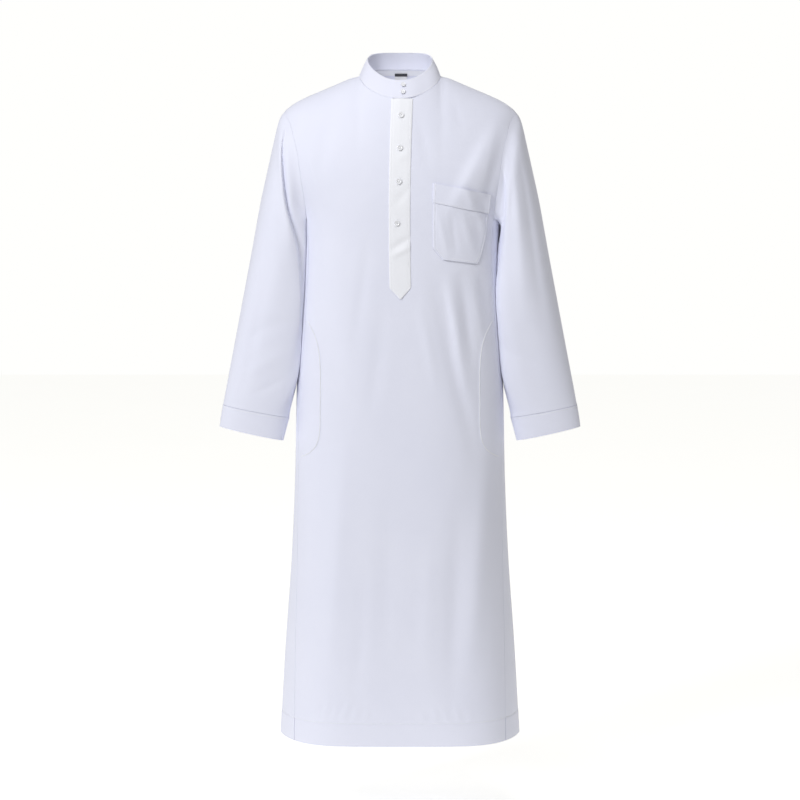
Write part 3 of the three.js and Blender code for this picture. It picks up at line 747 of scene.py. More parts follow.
def armhole_of(gore):
    """The ring the +X sleeve is sewn to: up the front panel's edge, down the back
    panel's and forward along the top of the gore. With it go the way the cloth runs on
    from each point, and the armhole's middle, from points spread as on the solid."""
    rise = np.linspace(0, 1, FRONT_RING_POINTS)[:-1]
    fall = np.linspace(1, 0, BACK_RING_POINTS)[:-1]
    front, back = upper_point(-1, EDGE_COLUMN, rise), upper_point(1, EDGE_COLUMN, fall)
    front_way = front - upper_point(-1, EDGE_COLUMN - PROBE, rise)
    back_way = back - upper_point(1, EDGE_COLUMN - PROBE, fall)
    under = gore[-1][:0:-1]
    ring = np.concatenate([front, back, under])
    lift = (ring[:, 2] < ARMPIT_Z + 1) * SEAM_GAP
    ring = ring + xyz(np.full(len(ring), SLEEVE_GAP), 0 * lift, lift)
    way = unit(np.concatenate([front_way, back_way, np.tile(UNDERARM_WAY, (len(under), 1))]))
    low = smooth((ring[:, 2] - ARMPIT_Z) / WAY_EASE)[:, None]
    climb = np.linspace(0, 1, FINE_UPPER_ROWS // 2 + 1)
    spread = [upper_point(-1, EDGE_COLUMN, climb[:-1]), upper_point(1, EDGE_COLUMN, climb[:0:-1]), under]
    return {"ring": ring, "way": unit(mix(UNDERARM_WAY, way, low)), "heart": np.concatenate(spread).mean(0)}


def rounded(value, power):
    return np.sign(value) * np.abs(value) ** (2 / power)


def ring_reader(rows, heart=None):
    """Reads a table of rings at any place along it, a sleeve's from the armhole itself."""
    if heart is not None:
        first = rows[0]
        half_x = (first["outX"] - first["inX"]) / 2
        half_z = (first["outZ"] - first["inZ"]) / 2
        start = {"ring": -1, "outX": heart[0] + half_x, "outZ": heart[2] + half_z,
                 "inX": heart[0] - half_x, "inZ": heart[2] - half_z,
                 "deep": first["deep"], "ahead": -heart[1], "share": 0}
        rows = [start] + rows
    return {name: curve(rows, "ring", name) for name in rows[0] if name != "ring"}


def sleeve_creases(creases, bearing, ring):
    """Creases over a sleeve, each from one ring and bearing to another."""
    lift = np.zeros_like(bearing)
    for crease in creases:
        along = (ring - crease["ring0"]) / (crease["ring1"] - crease["ring0"])
        heart = mix(crease["bearing0"], crease["bearing1"], along)
        aside = (bearing - heart + 180) % 360 - 180
        ease = np.sin(np.clip(along, 0, 1) * math.pi)
        lift += crease["depth"] * ease * ridge(aside, crease["width"])
    return lift


def tuck_lift(tuck, degrees, place):
    """The tuck down the front of a sleeve: the outer cloth stands proud of the cloth
    behind it, which comes up again towards the body."""
    behind = degrees - tuck["bearing"](place)
    drop = smooth(behind / TUCK_EDGE + 0.5) * np.exp(-np.maximum(behind, 0) / TUCK_BACK)
    swell = ridge(behind + TUCK_SWELL_SETBACK, TUCK_SWELL_WIDTH)
    return tuck["depth"](place) * (TUCK_SWELL * swell - drop)


def sleeve_ring(armhole, read, place):
    """One ring of a sleeve or cuff, each point keeping its bearing, and its middle."""
    start, heart = armhole["ring"], armhole["heart"]
    height = (start[:, 2] - heart[2]) / ARMHOLE_RISE
    bearing = np.arctan2(height, (start[:, 1] - heart[1]) / ARMHOLE_REACH)
    row = {name: column(place) for name, column in read.items()}
    middle = np.array([(row["outX"] + row["inX"]) / 2, -row["ahead"], (row["outZ"] + row["inZ"]) / 2])
    half = np.array([(row["outX"] - row["inX"]) / 2, 0, (row["outZ"] - row["inZ"]) / 2])
    full = middle + rounded(np.sin(bearing), SLEEVE_POWER)[:, None] * half
    full[:, 1] += row["deep"] * rounded(np.cos(bearing), SLEEVE_POWER)
    points = mix(start + middle - heart, full, row.get("share", 1))
    return points, middle, (bearing / DEGREES + 360) % 360


def sleeve_base(armhole, read, places, rings):
    """The rings of a sleeve, its head flowing out of the armhole."""
    base = np.array([ring[0] for ring in rings])
    end = sleeve_ring(armhole, read, HEAD_REACH)[0]
    slope = (sleeve_ring(armhole, read, HEAD_REACH + PROBE)[0] - end) / PROBE
    for row, place in enumerate(places):
        if place < HEAD_REACH:
            share = (place + 1) / (HEAD_REACH + 1)
            base[row] = flow(armhole["ring"], armhole["way"], end, slope * (HEAD_REACH + 1), share)
    return eased(base, HEAD_PASSES)


def sleeve_grid(armhole, read, places, creases, tuck, front_push):
    """Rings of a sleeve at places down it, the last of them the armhole's."""
    rings = [sleeve_ring(armhole, read, place) for place in places]
    grid = []
    for points, place, ring in zip(sleeve_base(armhole, read, places, rings), places, rings):
        middle, degrees = ring[1:]
        lift = sleeve_creases(creases, degrees, np.full(len(degrees), place))
        lift = (lift + tuck_lift(tuck, degrees, place)) * smooth(place + 1)
        points = points - unit(middle - points) * lift[:, None]
        grid.append(beside_body(armhole, points, degrees, front_push))
    return np.array(grid)


def cuff_grid(armhole, places):
    """Rings of a cuff at places up it."""
    read = ring_reader(CUFF_RINGS)
    rings = [sleeve_ring(armhole, read, place) for place in places]
    grid = np.array([beside_body(armhole, ring[0], ring[2], FRONT_PUSH) for ring in rings])
    return grid + grid_normals(grid, True) * CUFF_PROUD


def beside_body(armhole, points, degrees, front_push):
    """Lays the inner corners of a sleeve's ring against the body, and none of it within."""
    points = points.copy()
    for push in (front_push, BACK_PUSH):
        near = ridge(degrees - push["bearing"], PUSH_WIDTH)
        between = smooth((push["top"] - points[:, 2]) / push["ease"])
        between *= smooth((points[:, 2] - PUSH_FOOT) / PUSH_EASE)
        points[:, 0] -= SIDE_PUSH * near * between
    beside = body_x(points[:, 1], points[:, 2]) + SLEEVE_CLEARANCE
    above = np.minimum(armhole_x(points[:, 2]) + SLEEVE_GAP, armhole["ring"][:, 0] + 2 * SLEEVE_CLEARANCE)
    points[:, 0] = np.maximum(points[:, 0], np.where(points[:, 2] < ARMPIT_Z, beside, above))
    return points


def eased(grid, passes):
    """Evens out a grid of rings, its first and last ring kept."""
    grid = grid.copy()
    for _ in range(passes):
        around = (np.roll(grid, 1, 1) + np.roll(grid, -1, 1))[1:-1] / 2
        along = (grid[:-2] + grid[2:]) / 2
        grid[1:-1] = grid[1:-1] / 2 + (around + along) / 4
    return grid


def flow(start, way, end, slope, share):
    """A smooth run from one ring to another, leaving the first one along its way."""
    pull = HEAD_PULL * np.linalg.norm(end - start, axis=-1, keepdims=True)
    square, cube = share * share, share**3
    return (start * (2 * cube - 3 * square + 1) + way * pull * (cube - 2 * square + share)
            + end * (3 * square - 2 * cube) + slope * (cube - square))


# Creases of the sleeves, as seen by the wearer: the right one is mirrored
RIGHT_SLEEVE_CREASES = table(
    "ring0 bearing0 ring1 bearing1 width depth",
    (2.4, 240, 9.2, 214, 9, -3.4),
    (1.2, 196, 6.2, 176, 13, 2.2),
    (4.6, 160, 9.4, 150, 11, -2.0),
    (6.0, 205, 7.6, 130, 12, -2.2),
    (6.9, 214, 8.4, 150, 11, 1.8),
    (7.6, 216, 9.3, 172, 10, -1.6),
    (1.5, 30, 7.5, 18, 13, -3.0),
    (3.5, 340, 9.0, 352, 12, 2.6),
    (5.5, 60, 7.4, 10, 12, -2.2),
)
LEFT_SLEEVE_CREASES = table(
    "ring0 bearing0 ring1 bearing1 width depth",
    (1.6, 226, 8.6, 226, 10, -4.0),
    (0.4, 170, 6.6, 182, 10, 3.2),
    (0.8, 146, 7.2, 156, 11, -3.0),
    (4.4, 206, 9.5, 196, 11, 2.2),
    (6.4, 236, 8.0, 170, 11, -2.0),
    (1.8, 24, 8.0, 14, 12, -3.2),
    (3.0, 346, 8.6, 336, 13, 2.8),
    (5.8, 70, 7.6, 6, 12, 2.2),
)


# ---------------- collar

def neckline_reader():
    """The neckline as a curve, from the front middle round by the wearer's left."""
    column = np.linspace(0, NECK_COLUMNS, 61)
    front = upper_point(-1, column, 1)
    back = upper_point(1, column, 1)[:-1]
    front_turn = column_top(-1, column)[2]
    back_turn = column_top(1, column)[2][:-1]
    points = np.concatenate([front, back[::-1]])
    turns = np.concatenate([front_turn, back_turn[::-1]])

    def read(turn):
        turn = turn % (2 * math.pi)
        half = np.minimum(turn, 2 * math.pi - turn)
        sign = np.where(turn > math.pi, -1, 1)
        return along_line(half, turns, points) * xyz(sign, 1 + 0 * sign, 1 + 0 * sign)

    return read


neckline = neckline_reader()


def collar_point(turn, share):
    base = neckline(turn)
    base[..., 2] += COLLAR_GAP
    reach = np.where(np.cos(turn) > 0, COLLAR_TOP_FRONT, COLLAR_TOP_BACK)
    top = xyz(COLLAR_TOP_HALF_WIDTH * np.sin(turn), -reach * np.cos(turn), ring_z(COLLAR_TOP_Z, turn))
    share = np.asarray(share, float)[..., None]
    bow = COLLAR_BOW * np.sin(math.pi * share)
    outward = outward_at(turn)
    return mix(base, top, share) + outward * bow


def collar_lift(turn):
    """The end on top stands off by the cloth of the end beneath it."""
    lap = COLLAR_LAP * DEGREES
    ease = smooth((turn - lap) / (LAP_EASE * DEGREES))
    return (COLLAR_END_GAP + SEAM_GAP) * (1 - ease)


def collar_grid():
    lap = COLLAR_LAP * DEGREES
    turn = np.linspace(-lap, 2 * math.pi + lap, COLLAR_COLUMNS)[None, :]
    share = np.array(COLLAR_LEVELS)[:, None]
    turn, share = np.broadcast_arrays(turn, share)
    outward = outward_at(turn)
    inset = np.minimum(share, 1 - share) * COLLAR_WIDTH
    roll = COLLAR_ROLL * (1 - smooth(inset / COLLAR_ROLL_WIDTH))
    groove = COLLAR_GROOVE * ridge(inset - COLLAR_STITCH_INSET, COLLAR_GROOVE_WIDTH)
    lift = collar_lift(turn) - roll - groove
    return collar_point(turn, share) + outward * lift[..., None]


# ---------------- placket and pockets

def patch_points(rows, columns, distance, creases=()):
    """A grid of points off the front from rows of left and right ends, lowest first."""
    share = np.linspace(0, 1, columns + 1)
    left_x, left_z, right_x, right_z = (np.array([row[name] for row in rows])[:, None]
                                        for name in ("leftX", "leftZ", "rightX", "rightZ"))
    x = mix(left_x, right_x, share)
    z = mix(left_z, right_z, share)
    return off_panel(-1, x, z, distance(z, share) + fold_lift(creases, x, z))


def inset_from(share, width):
    """The distance from the nearer side of a patch, across a row."""
    return np.minimum(share, 1 - share) * width


def placket_rows():
    rows = [{"z": PLACKET_TIP_Z, "half": PLACKET_TIP_HALF_WIDTH}]
    rows += [{"z": mix(PLACKET_TIP_Z, PLACKET_SHOULDER_Z, share),
              "half": mix(PLACKET_TIP_HALF_WIDTH, PLACKET_HALF_WIDTH, share)}
             for share in (0.2, 0.4, 0.6, 0.8, 1)]
    rows += [{"z": z, "half": PLACKET_HALF_WIDTH}
             for z in np.linspace(PLACKET_SHOULDER_Z + 2, PLACKET_TOP_Z + 1, 120)]
    ends = []
    for row in rows:
        middle = float(placket_middle(row["z"]))
        ends.append({"leftX": middle - row["half"], "leftZ": row["z"],
                     "rightX": middle + row["half"], "rightZ": row["z"]})
    return ends


def placket_distance(z, share):
    """How far the placket stands off the front, with its rolled edges and stitch lines."""
    edge = smooth(inset_from(share, 2 * PLACKET_HALF_WIDTH) / BAND_ROLL)
    across = PLACKET_SEAM_GROOVE * ridge(z - PLACKET_SEAM_Z, GROOVE_WIDTH)
    down = sum(ridge(share - line, PLACKET_LINE_WIDTH) for line in PLACKET_LINE_SHARES)
    return PATCH_OFF + PLACKET_RISE * edge - across - PLACKET_GROOVE * down


def ladder(rows, steps):
    """The rows of a short table read finely, lowest first."""
    last = len(rows) - 1
    levels = np.linspace(last, 0, steps)
    names = ("leftX", "leftZ", "rightX", "rightZ")
    places = [row["level"] for row in rows]
    return [{name: float(np.interp(level, places, [row[name] for row in rows])) for name in names}
            for level in levels]


def pocket_distance(z, share):
    """How far the chest pocket stands off the front, gaping a little towards its top."""
    inset = inset_from(share, POCKET_WIDTH)
    gape = POCKET_GAPE * np.sin(math.pi * share) * smooth((z - POCKET_GAPE_FOOT) / POCKET_GAPE_EASE)
    sewn = POCKET_GROOVE * ridge(inset - POCKET_STITCH_INSET, GROOVE_WIDTH)
    return PATCH_OFF + POCKET_RISE * smooth(inset / POCKET_ROLL) + gape - sewn


def band_distance(share):
    """How far the pocket's turned band stands off the front."""
    edge = smooth(inset_from(share, BAND_WIDTH) / BAND_ROLL)
    return BAND_OFF + BAND_RISE * edge + POCKET_GAPE * np.sin(math.pi * share)


POCKET_CREASES = table(
    "x0 z0 x1 z1 width depth",
    (126, -205, 176, -325, 9, 2.6),
    (150, -205, 192, -318, 9, -2.2),
    (74, -262, 98, -372, 8, 1.6),
    (100, -262, 114, -366, 7, -1.2),
    (118, -258, 150, -362, 9, 1.8),
    (150, -262, 160, -352, 8, -1.0),
)
BAND_CREASES = table(
    "x0 z0 x1 z1 width depth",
    (118, -178, 152, -290, 9, 2.2),
    (140, -180, 172, -280, 9, -1.6),
)


def bag_rows(sign):
    rows = []
    for z in np.linspace(SIDE_POCKET_ROWS[-1]["z"], SIDE_POCKET_ROWS[0]["z"], 60):
        edge = float(seam_x(z)) - POCKET_SEAM_INSET
        reach = float(pocket_reach(z))
        ends = (edge - reach, edge) if sign > 0 else (-edge, reach - edge)
        rows.append({"leftX": ends[0], "leftZ": z, "rightX": ends[1], "rightZ": z})
    return rows


# ---------------- sewing

STITCH = {"length": 2.3, "pitch": 3.1, "width": 0.5, "height": 0.32}
BOLD_STITCH = {"length": 2.7, "pitch": 3.5, "width": 0.8, "height": 0.45}
LINE_STITCH = {"length": 3.4, "pitch": 3.6, "width": 1.7, "height": 0.75}
# How far each stitch line stands off the front panel, for those of the placket and the
# pockets, and off the sewn cloth itself for the rest
LINE_OFF = {
    "hem": -0.2, "gore hem": 0.3, "cuff": 0.05, "collar": -0.25, "shoulder": 0.12, "side pocket": 0.12,
    "placket": 1.82, "placket point": 1.9, "placket seam": 1.68,
    "pocket": 2.25, "pocket band": 3.45, "band foot": 0.05,
}
PLACKET_LINE_INSET = 0.8
PLACKET_TIP_INSET = 5
COLLAR_LINE_SHARES = (0.085, 0.915)
SHOULDER_LINE_SHARE = 0.985
BAND_FOOT_INSET = 2.5
# A stitch's full body as a share of its length, how far it sinks as a share of its
# height, and how far its ends dip
STITCH_BODY = 0.55
STITCH_SINK = 0.4
STITCH_DIP = 0.1


def stitches(lines, size=STITCH):
    """Points and faces of the stitches along some lines. A line is a pair: the points
    that it follows, and the cloth's outward direction at each of them."""
    points = []
    faces = []
    for line, normals in lines:
        run = np.insert(np.cumsum(np.linalg.norm(np.diff(line, axis=0), axis=1)), 0, 0)
        count = max(int(run[-1] / size["pitch"]), 1)
        places = (np.arange(count) + 0.5) * run[-1] / count
        at = along_line(places, run, line)
        along = unit(along_line(places + PROBE, run, line) - along_line(places - PROBE, run, line))
        out = unit(along_line(places, run, normals))
        aside = unit(np.cross(out, along)) * size["width"] / 2
        half = size["length"] / 2
        corners = []
        for shift in (-half * STITCH_BODY, half * STITCH_BODY):
            corners += [at + along * shift + aside, at + along * shift + out * size["height"],
                        at + along * shift - aside, at + along * shift - out * size["height"] * STITCH_SINK]
        corners += [at - along * half - out * STITCH_DIP, at + along * half - out * STITCH_DIP]
        first = len(points)
        points.extend(np.stack(corners, 1).reshape(-1, 3))
        for base in range(first, len(points), len(corners)):
            for corner in range(4):
                following = (corner + 1) % 4
                faces += [[base + corner, base + corner + 4, base + following + 4, base + following],
                          [base + 8, base + corner, base + following],
                          [base + 9, base + following + 4, base + corner + 4]]
    return points, faces


def panel_line(side, x, z, distance):
    x = np.asarray(x, float)
    z = np.asarray(z, float)
    return off_panel(side, x, z, distance), body_normal(side, x, z)


def smooth_grid_line(grid, row, inset, tube):
    """A line along a row of a grid, lifted off it by an inset."""
    normals = grid_normals(grid, tube)[row]
    line = grid[row] + normals * inset
    if tube:
        line = np.concatenate([line, line[:1]])
        normals = np.concatenate([normals, normals[:1]])
    return line, normals


# ---------------- buttons and label

BUTTON_SIDES = 48
BUTTON_PROFILE = [
    (0.0, 0.02), (0.55, 0.0), (0.8, 0.02), (0.93, 0.2), (1.0, 0.45), (0.985, 0.72), (0.94, 0.9),
    (0.89, 0.985), (0.84, 1.0), (0.78, 0.97), (0.7, 0.83), (0.62, 0.7), (0.5, 0.645), (0.3, 0.625),
    (0.0, 0.62),
]
# The holes and the thread, by the button's radius and thickness, then in millimetres
HOLE_REACH = 0.24
HOLE_RADIUS = 0.1105
HOLE_LEVEL = 0.64
THREAD_LEVEL = 0.62
HOLE_PROUD = 0.02
HOLE_DEPTH = 0.3
HOLE_SIDES = 14
THREAD_PROUD = 0.03
THREAD_RISE = 0.45
STRAND_PITCH = 0.32
STRAND_RADIUS = 0.19
TUBE_GUIDE = np.array([0.3, 0.2, 1.0])


def basis(normal):
    """Three directions for a piece that stands on a surface: across, up and outward."""
    across = unit(np.cross(np.array([0, 0, 1.0]), normal))
    return np.stack([across, np.cross(normal, across), normal])


def ring_round(centre, across, up, radius, sides):
    angle = np.arange(sides)[:, None] / sides * 2 * math.pi
    return centre + radius * (np.cos(angle) * across + np.sin(angle) * up)


def side_faces(rings, sides, first=0):
    """Faces between rings of points that follow each other, from the first point's number."""
    faces = []
    for low in range(first, first + (rings - 1) * sides, sides):
        for side in range(sides):
            following = (side + 1) % sides
            faces.append([low + side, low + following, low + sides + following, low + sides + side])
    return faces


def capped(rings):
    """Points and faces of a closed piece from rings, with a flat face at each end."""
    sides = len(rings[0])
    count = len(rings) * sides
    ends = [list(range(sides))[::-1], list(range(count - sides, count))]
    return list(np.concatenate(rings)), ends + side_faces(len(rings), sides)


def button_parts(size, foot, normal):
    """Points and faces of a button, turned from its profile."""
    across, up, outward = basis(normal)
    levels = [(share * size["radius"], foot + outward * height * size["thickness"])
              for share, height in BUTTON_PROFILE]
    rings = [ring_round(centre, across, up, radius, BUTTON_SIDES) for radius, centre in levels[1:-1]]
    points = [levels[0][1], *np.concatenate(rings), levels[-1][1]]
    top = len(points) - 1 - BUTTON_SIDES
    faces = side_faces(len(rings), BUTTON_SIDES, 1)
    for side in range(BUTTON_SIDES):
        following = (side + 1) % BUTTON_SIDES
        faces.append([0, 1 + following, 1 + side])
        faces.append([top + side, top + following, len(points) - 1])
    return points, faces


def hole_parts(size, foot, normal):
    """Short dark plugs, painted shade for what shows down a button's four holes."""
    across, up, outward = basis(normal)
    reach = size["radius"] * HOLE_REACH
    top = size["thickness"] * HOLE_LEVEL + HOLE_PROUD
    holes = []
    for sideways in (-reach, reach):
        for upward in (-reach, reach):
            centre = foot + sideways * across + upward * up + top * outward
            holes.append(capped([ring_round(centre - depth * outward, across, up,
                                            size["radius"] * HOLE_RADIUS, HOLE_SIDES)
                                 for depth in (HOLE_DEPTH, 0)]))
    return join_parts(holes)


def join_parts(parts):
    """One list of points and one of faces from several."""
    points = []
    faces = []
    for more_points, more_faces in parts:
        start = len(points)
        points.extend(more_points)
        faces.extend([[index + start for index in face] for face in more_faces])
    return points, faces


def thread_parts(size, foot, normal):
    """Two crossing bars of thread over the holes, each of three strands."""
    axes = basis(normal)
    level = size["thickness"] * THREAD_LEVEL + THREAD_PROUD
    reach = size["radius"] * HOLE_REACH * math.sqrt(2)
    sweep = np.linspace(-1, 1, 9)
    strands = []
    for angle in (math.pi / 4, -math.pi / 4):
        direction = np.array([math.cos(angle), math.sin(angle), 0])
        beside = np.array([-direction[1], direction[0], 0])
        for shift in (-STRAND_PITCH, 0, STRAND_PITCH):
            local = direction * (sweep * reach)[:, None] + beside * shift
            local[:, 2] = level + THREAD_RISE * (1 - sweep**2)
            strands.append(tube_parts(foot + local @ axes, STRAND_RADIUS, 6))
    return join_parts(strands)


def tube_parts(line, radius, sides):
    """A closed thin tube along some points."""
    along = unit(np.gradient(line, axis=0))
    aside = unit(np.cross(along, TUBE_GUIDE))
    over = np.cross(along, aside)
    return capped([ring_round(*place, radius, sides) for place in zip(line, aside, over)])


# ---------------- materials

# How finely the cloth's tint drifts, and how deep its weave is in metres
CLOTH_DRIFT = 9.0
WEAVE_DEPTH = 0.00008


def node(tree, kind, **inputs):
    made = tree.nodes.new(kind)
    for name, value in inputs.items():
        made.inputs[name].default_value = value
    return made


def link(tree, source, output, target, socket):
    tree.links.new(source.outputs[output], target.inputs[socket])


def tinted_material(name, light, dark, roughness, sheen=0.0, scale=60.0, coat=0.0):
    """A material whose colour drifts softly between two close tints."""
    material = bpy.data.materials.new(name)
    material.use_nodes = True
    tree = material.node_tree
    shader = tree.nodes["Principled BSDF"]
    shader.inputs["Roughness"].default_value = roughness
    shader.inputs["Sheen Weight"].default_value = sheen
    shader.inputs["Sheen Roughness"].default_value = 0.45
    if coat:
        shader.inputs["Coat Weight"].default_value = coat
        shader.inputs["Coat Roughness"].default_value = 0.12
    coords = tree.nodes.new("ShaderNodeTexCoord")
    noise = node(tree, "ShaderNodeTexNoise", Scale=scale, Detail=3.0, Roughness=0.55)
    ramp = tree.nodes.new("ShaderNodeValToRGB")
    for stop, position, colour in zip(ramp.color_ramp.elements, (0.3, 0.7), (dark, light)):
        stop.position = position
        stop.color = (*colour, 1)
    link(tree, coords, "Object", noise, "Vector")
    link(tree, noise, "Fac", ramp, "Fac")
    link(tree, ramp, "Color", shader, "Base Color")
    return material, tree, shader, coords


def cloth_material(name, light, dark, roughness, sheen, thread=0.00042, crumple=0.0012):
    """Plain weave of two crossing sets of threads, over a faint crumple."""
    material, tree, shader, coords = tinted_material(name, light, dark, roughness, sheen, CLOTH_DRIFT)
    weave = tree.nodes.new("ShaderNodeMath")
    weave.operation = "MAXIMUM"
    for socket, direction in enumerate(("X", "Y")):
        wave = node(tree, "ShaderNodeTexWave", Scale=2 * math.pi / (20 * thread), Distortion=0.4, Detail=1.0)
        wave.bands_direction = direction
        link(tree, coords, "UV", wave, "Vector")
        link(tree, wave, "Fac", weave, socket)
    fine = node(tree, "ShaderNodeBump", Strength=0.25, Distance=WEAVE_DEPTH)
    link(tree, weave, 0, fine, "Height")
    noise = node(tree, "ShaderNodeTexNoise", Scale=34.0, Detail=4.0, Roughness=0.5)
    link(tree, coords, "Object", noise, "Vector")
    broad = node(tree, "ShaderNodeBump", Strength=0.5, Distance=crumple)
    link(tree, noise, "Fac", broad, "Height")
    link(tree, fine, "Normal", broad, "Normal")
    link(tree, broad, "Normal", shader, "Normal")
    return material


CLOTH_MATERIAL = cloth_material("white_shirting", (0.806, 0.821, 0.942), (0.786, 0.802, 0.927), 0.66, 0.2)
TRIM_MATERIAL = cloth_material("white_stiffened", (0.905, 0.915, 0.965), (0.885, 0.895, 0.95), 0.6, 0.25,
                               crumple=0.0007)
COLLAR_MATERIAL = cloth_material("collar_shirting", (0.815, 0.828, 0.945), (0.795, 0.808, 0.931), 0.62, 0.2,
                                 crumple=0.0007)
LABEL_MATERIAL = cloth_material("label_satin", (0.86, 0.86, 0.87), (0.8, 0.8, 0.82), 0.45, 0.1, thread=0.0003)
TAPE_MATERIAL = cloth_material("label_tape", (0.035, 0.035, 0.045), (0.02, 0.02, 0.028), 0.5, 0.1,
                               thread=0.0003)
BUTTON_MATERIAL = tinted_material("pearl_button", (0.92, 0.925, 0.95), (0.78, 0.79, 0.84), 0.22,
                                  scale=240.0, coat=0.4)[0]
THREAD_MATERIAL = tinted_material("white_thread", (0.93, 0.935, 0.96), (0.86, 0.865, 0.9), 0.5)[0]
# Near-black plugs in the buttons' holes: painted shade where the holes fall into shadow
HOLE_SHADE_MATERIAL = tinted_material("button_hole_shade", (0.16, 0.16, 0.18), (0.1, 0.1, 0.12), 0.7)[0]


# ---------------- putting it together

def finish_piece(piece, material, replaces):
    piece.data.materials.append(material)
    piece.data.set_sharp_from_angle(angle=50 * DEGREES)
    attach(piece, "root")
    if replaces:
        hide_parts(*replaces)
    return piece


def sheet_piece(node_name, grid, thickness, material=CLOTH_MATERIAL, tube=False):
    """A sheet of cloth in place of a node, named after that node."""
    piece = wall(node_name + "_cloth", grid, thickness, tube)
    finish_piece(piece, material, STANDS_FOR.get(node_name, [node_name]))


# The part makes each long panel as two solids, which are one sheet here
STANDS_FOR = {
    "front_panel": ["front_panel", "front_skirt"],
    "back_panel": ["back_panel", "back_skirt"],
}


def make_panels():
    for name, side in (("front_panel", -1), ("back_panel", 1)):
        grid = panel_grid(side)
        sheet_piece(name, grid, cloth_thickness(grid))


def make_sides(gore, armhole):
    """Gores, sleeves and cuffs, each made on the wearer's left and mirrored."""
    read = ring_reader(SLEEVE_RINGS, armhole["heart"])
    places = np.linspace(len(SLEEVE_RINGS) - 1, -1, SLEEVE_ROWS)
    cuff = cuff_grid(armhole, CUFF_PLACES)
    sides = (("left", lambda grid: grid, LEFT_SLEEVE_CREASES, LEFT_TUCK, OPEN_FRONT_PUSH),
             ("right", mirror, RIGHT_SLEEVE_CREASES, RIGHT_TUCK, FRONT_PUSH))
    for suffix, turned, creases, tuck_rows, front_push in sides:
        tuck = {name: curve(tuck_rows, "ring", name) for name in ("bearing", "depth")}
        sleeve = sleeve_grid(armhole, read, places, creases, tuck, front_push)
        sewn = turned(with_allowance(gore))
        sheet_piece("side_gore_" + suffix, sewn, cloth_thickness(sewn))
        sheet_piece("sleeve_" + suffix, turned(sleeve), CLOTH, tube=True)
        sheet_piece("cuff_" + suffix, turned(cuff), HEM_CLOTH, tube=True)


def make_trims():
    sheet_piece("collar", collar_grid(), COLLAR_CLOTH, COLLAR_MATERIAL)
    placket = patch_points(placket_rows(), PLACKET_COLUMNS, placket_distance, PLACKET_CREASES)
    sheet_piece("placket", placket, PLACKET_CLOTH, TRIM_MATERIAL)
    pocket = patch_points(ladder(POCKET_ROWS, POCKET_LEVELS), POCKET_COLUMNS, pocket_distance, POCKET_CREASES)
    sheet_piece("chest_pocket", pocket, CLOTH)
    band = patch_points(ladder(POCKET_BAND_ROWS, BAND_LEVELS), POCKET_COLUMNS,
                        lambda z, share: band_distance(share), BAND_CREASES)
    sheet_piece("chest_pocket_band", band, HEM_CLOTH)
    for suffix, sign in (("left", 1), ("right", -1)):
        bag = patch_points(bag_rows(sign), BAG_COLUMNS, lambda z, share: -CLOTH - BAG_GAP)
        sheet_piece("side_pocket_" + suffix, bag, CLOTH)


def make_buttons():
    places = []
    for row in PLACKET_BUTTONS:
        foot, normal = (found[0] for found in panel_line(-1, [row["x"]], [row["z"]], PLACKET_BUTTON["off"]))
        places.append((row["name"], PLACKET_BUTTON, foot, normal))
    for row in COLLAR_BUTTONS:
        turn = np.array([row["turn"] * DEGREES])
        here = collar_point(turn, row["share"])[0]
        across = collar_point(turn + 0.01, row["share"])[0] - here
        up = collar_point(turn, row["share"] + 0.1)[0] - here
        normal = unit(np.cross(across, up))
        places.append((row["name"], COLLAR_BUTTON, here + normal * COLLAR_BUTTON["off"], normal))
    for name, size, foot, normal in places:
        for suffix, parts, material, replaces in (("_pearl", button_parts, BUTTON_MATERIAL, [name]),
                                                  ("_holes", hole_parts, HOLE_SHADE_MATERIAL, None),
                                                  ("_thread", thread_parts, THREAD_MATERIAL, None)):
            piece = mesh_object(name + suffix, *parts(size, foot, normal))
            finish_piece(piece, material, replaces)


def make_label():
    share = np.linspace(0, 1, 21)
    x = mix(LABEL["x"] + LABEL["half_width"], LABEL["x"] - LABEL["half_width"], share)[None, :]
    z = np.linspace(LABEL["bottom"], LABEL["top"], 25)[:, None] + 0 * x
    inner = -CLOTH - LABEL["off"]
    grid = off_panel(1, x + 0 * z, z, inner)
    sheet_piece("neck_label", grid, LABEL["thickness"], LABEL_MATERIAL)
    z = LABEL["top"] + np.linspace(-LABEL_TAPE["below"], LABEL_TAPE["above"], 8)[:, None] + 0 * x
    tape = off_panel(1, x + 0 * z, z, inner - LABEL["thickness"] - LABEL_TAPE["off"])
    tape_piece = wall("neck_label_tape", tape, LABEL_TAPE["thickness"])
    piece = finish_piece(tape_piece, TAPE_MATERIAL, None)


def make_neck_tape():
    """The narrow tape sewn inside the back of the neck, under the collar's seam."""
    turn = np.linspace(NECK_TAPE["from"], NECK_TAPE["to"], 41) * DEGREES
    depth = np.linspace(NECK_TAPE["foot"], NECK_TAPE["top"], 8)[:, None]
    seam = neckline(turn)
    grid = off_panel(1, seam[:, 0] + 0 * depth, seam[:, 2] - depth, -CLOTH - NECK_TAPE["off"])
    piece = finish_piece(wall("neck_tape", grid, NECK_TAPE["thickness"]), TRIM_MATERIAL, None)


def stitch_piece(name, lines, size=STITCH):
    points, faces = stitches(lines, size)
    finish_piece(mesh_object(name, points, faces), THREAD_MATERIAL, None)


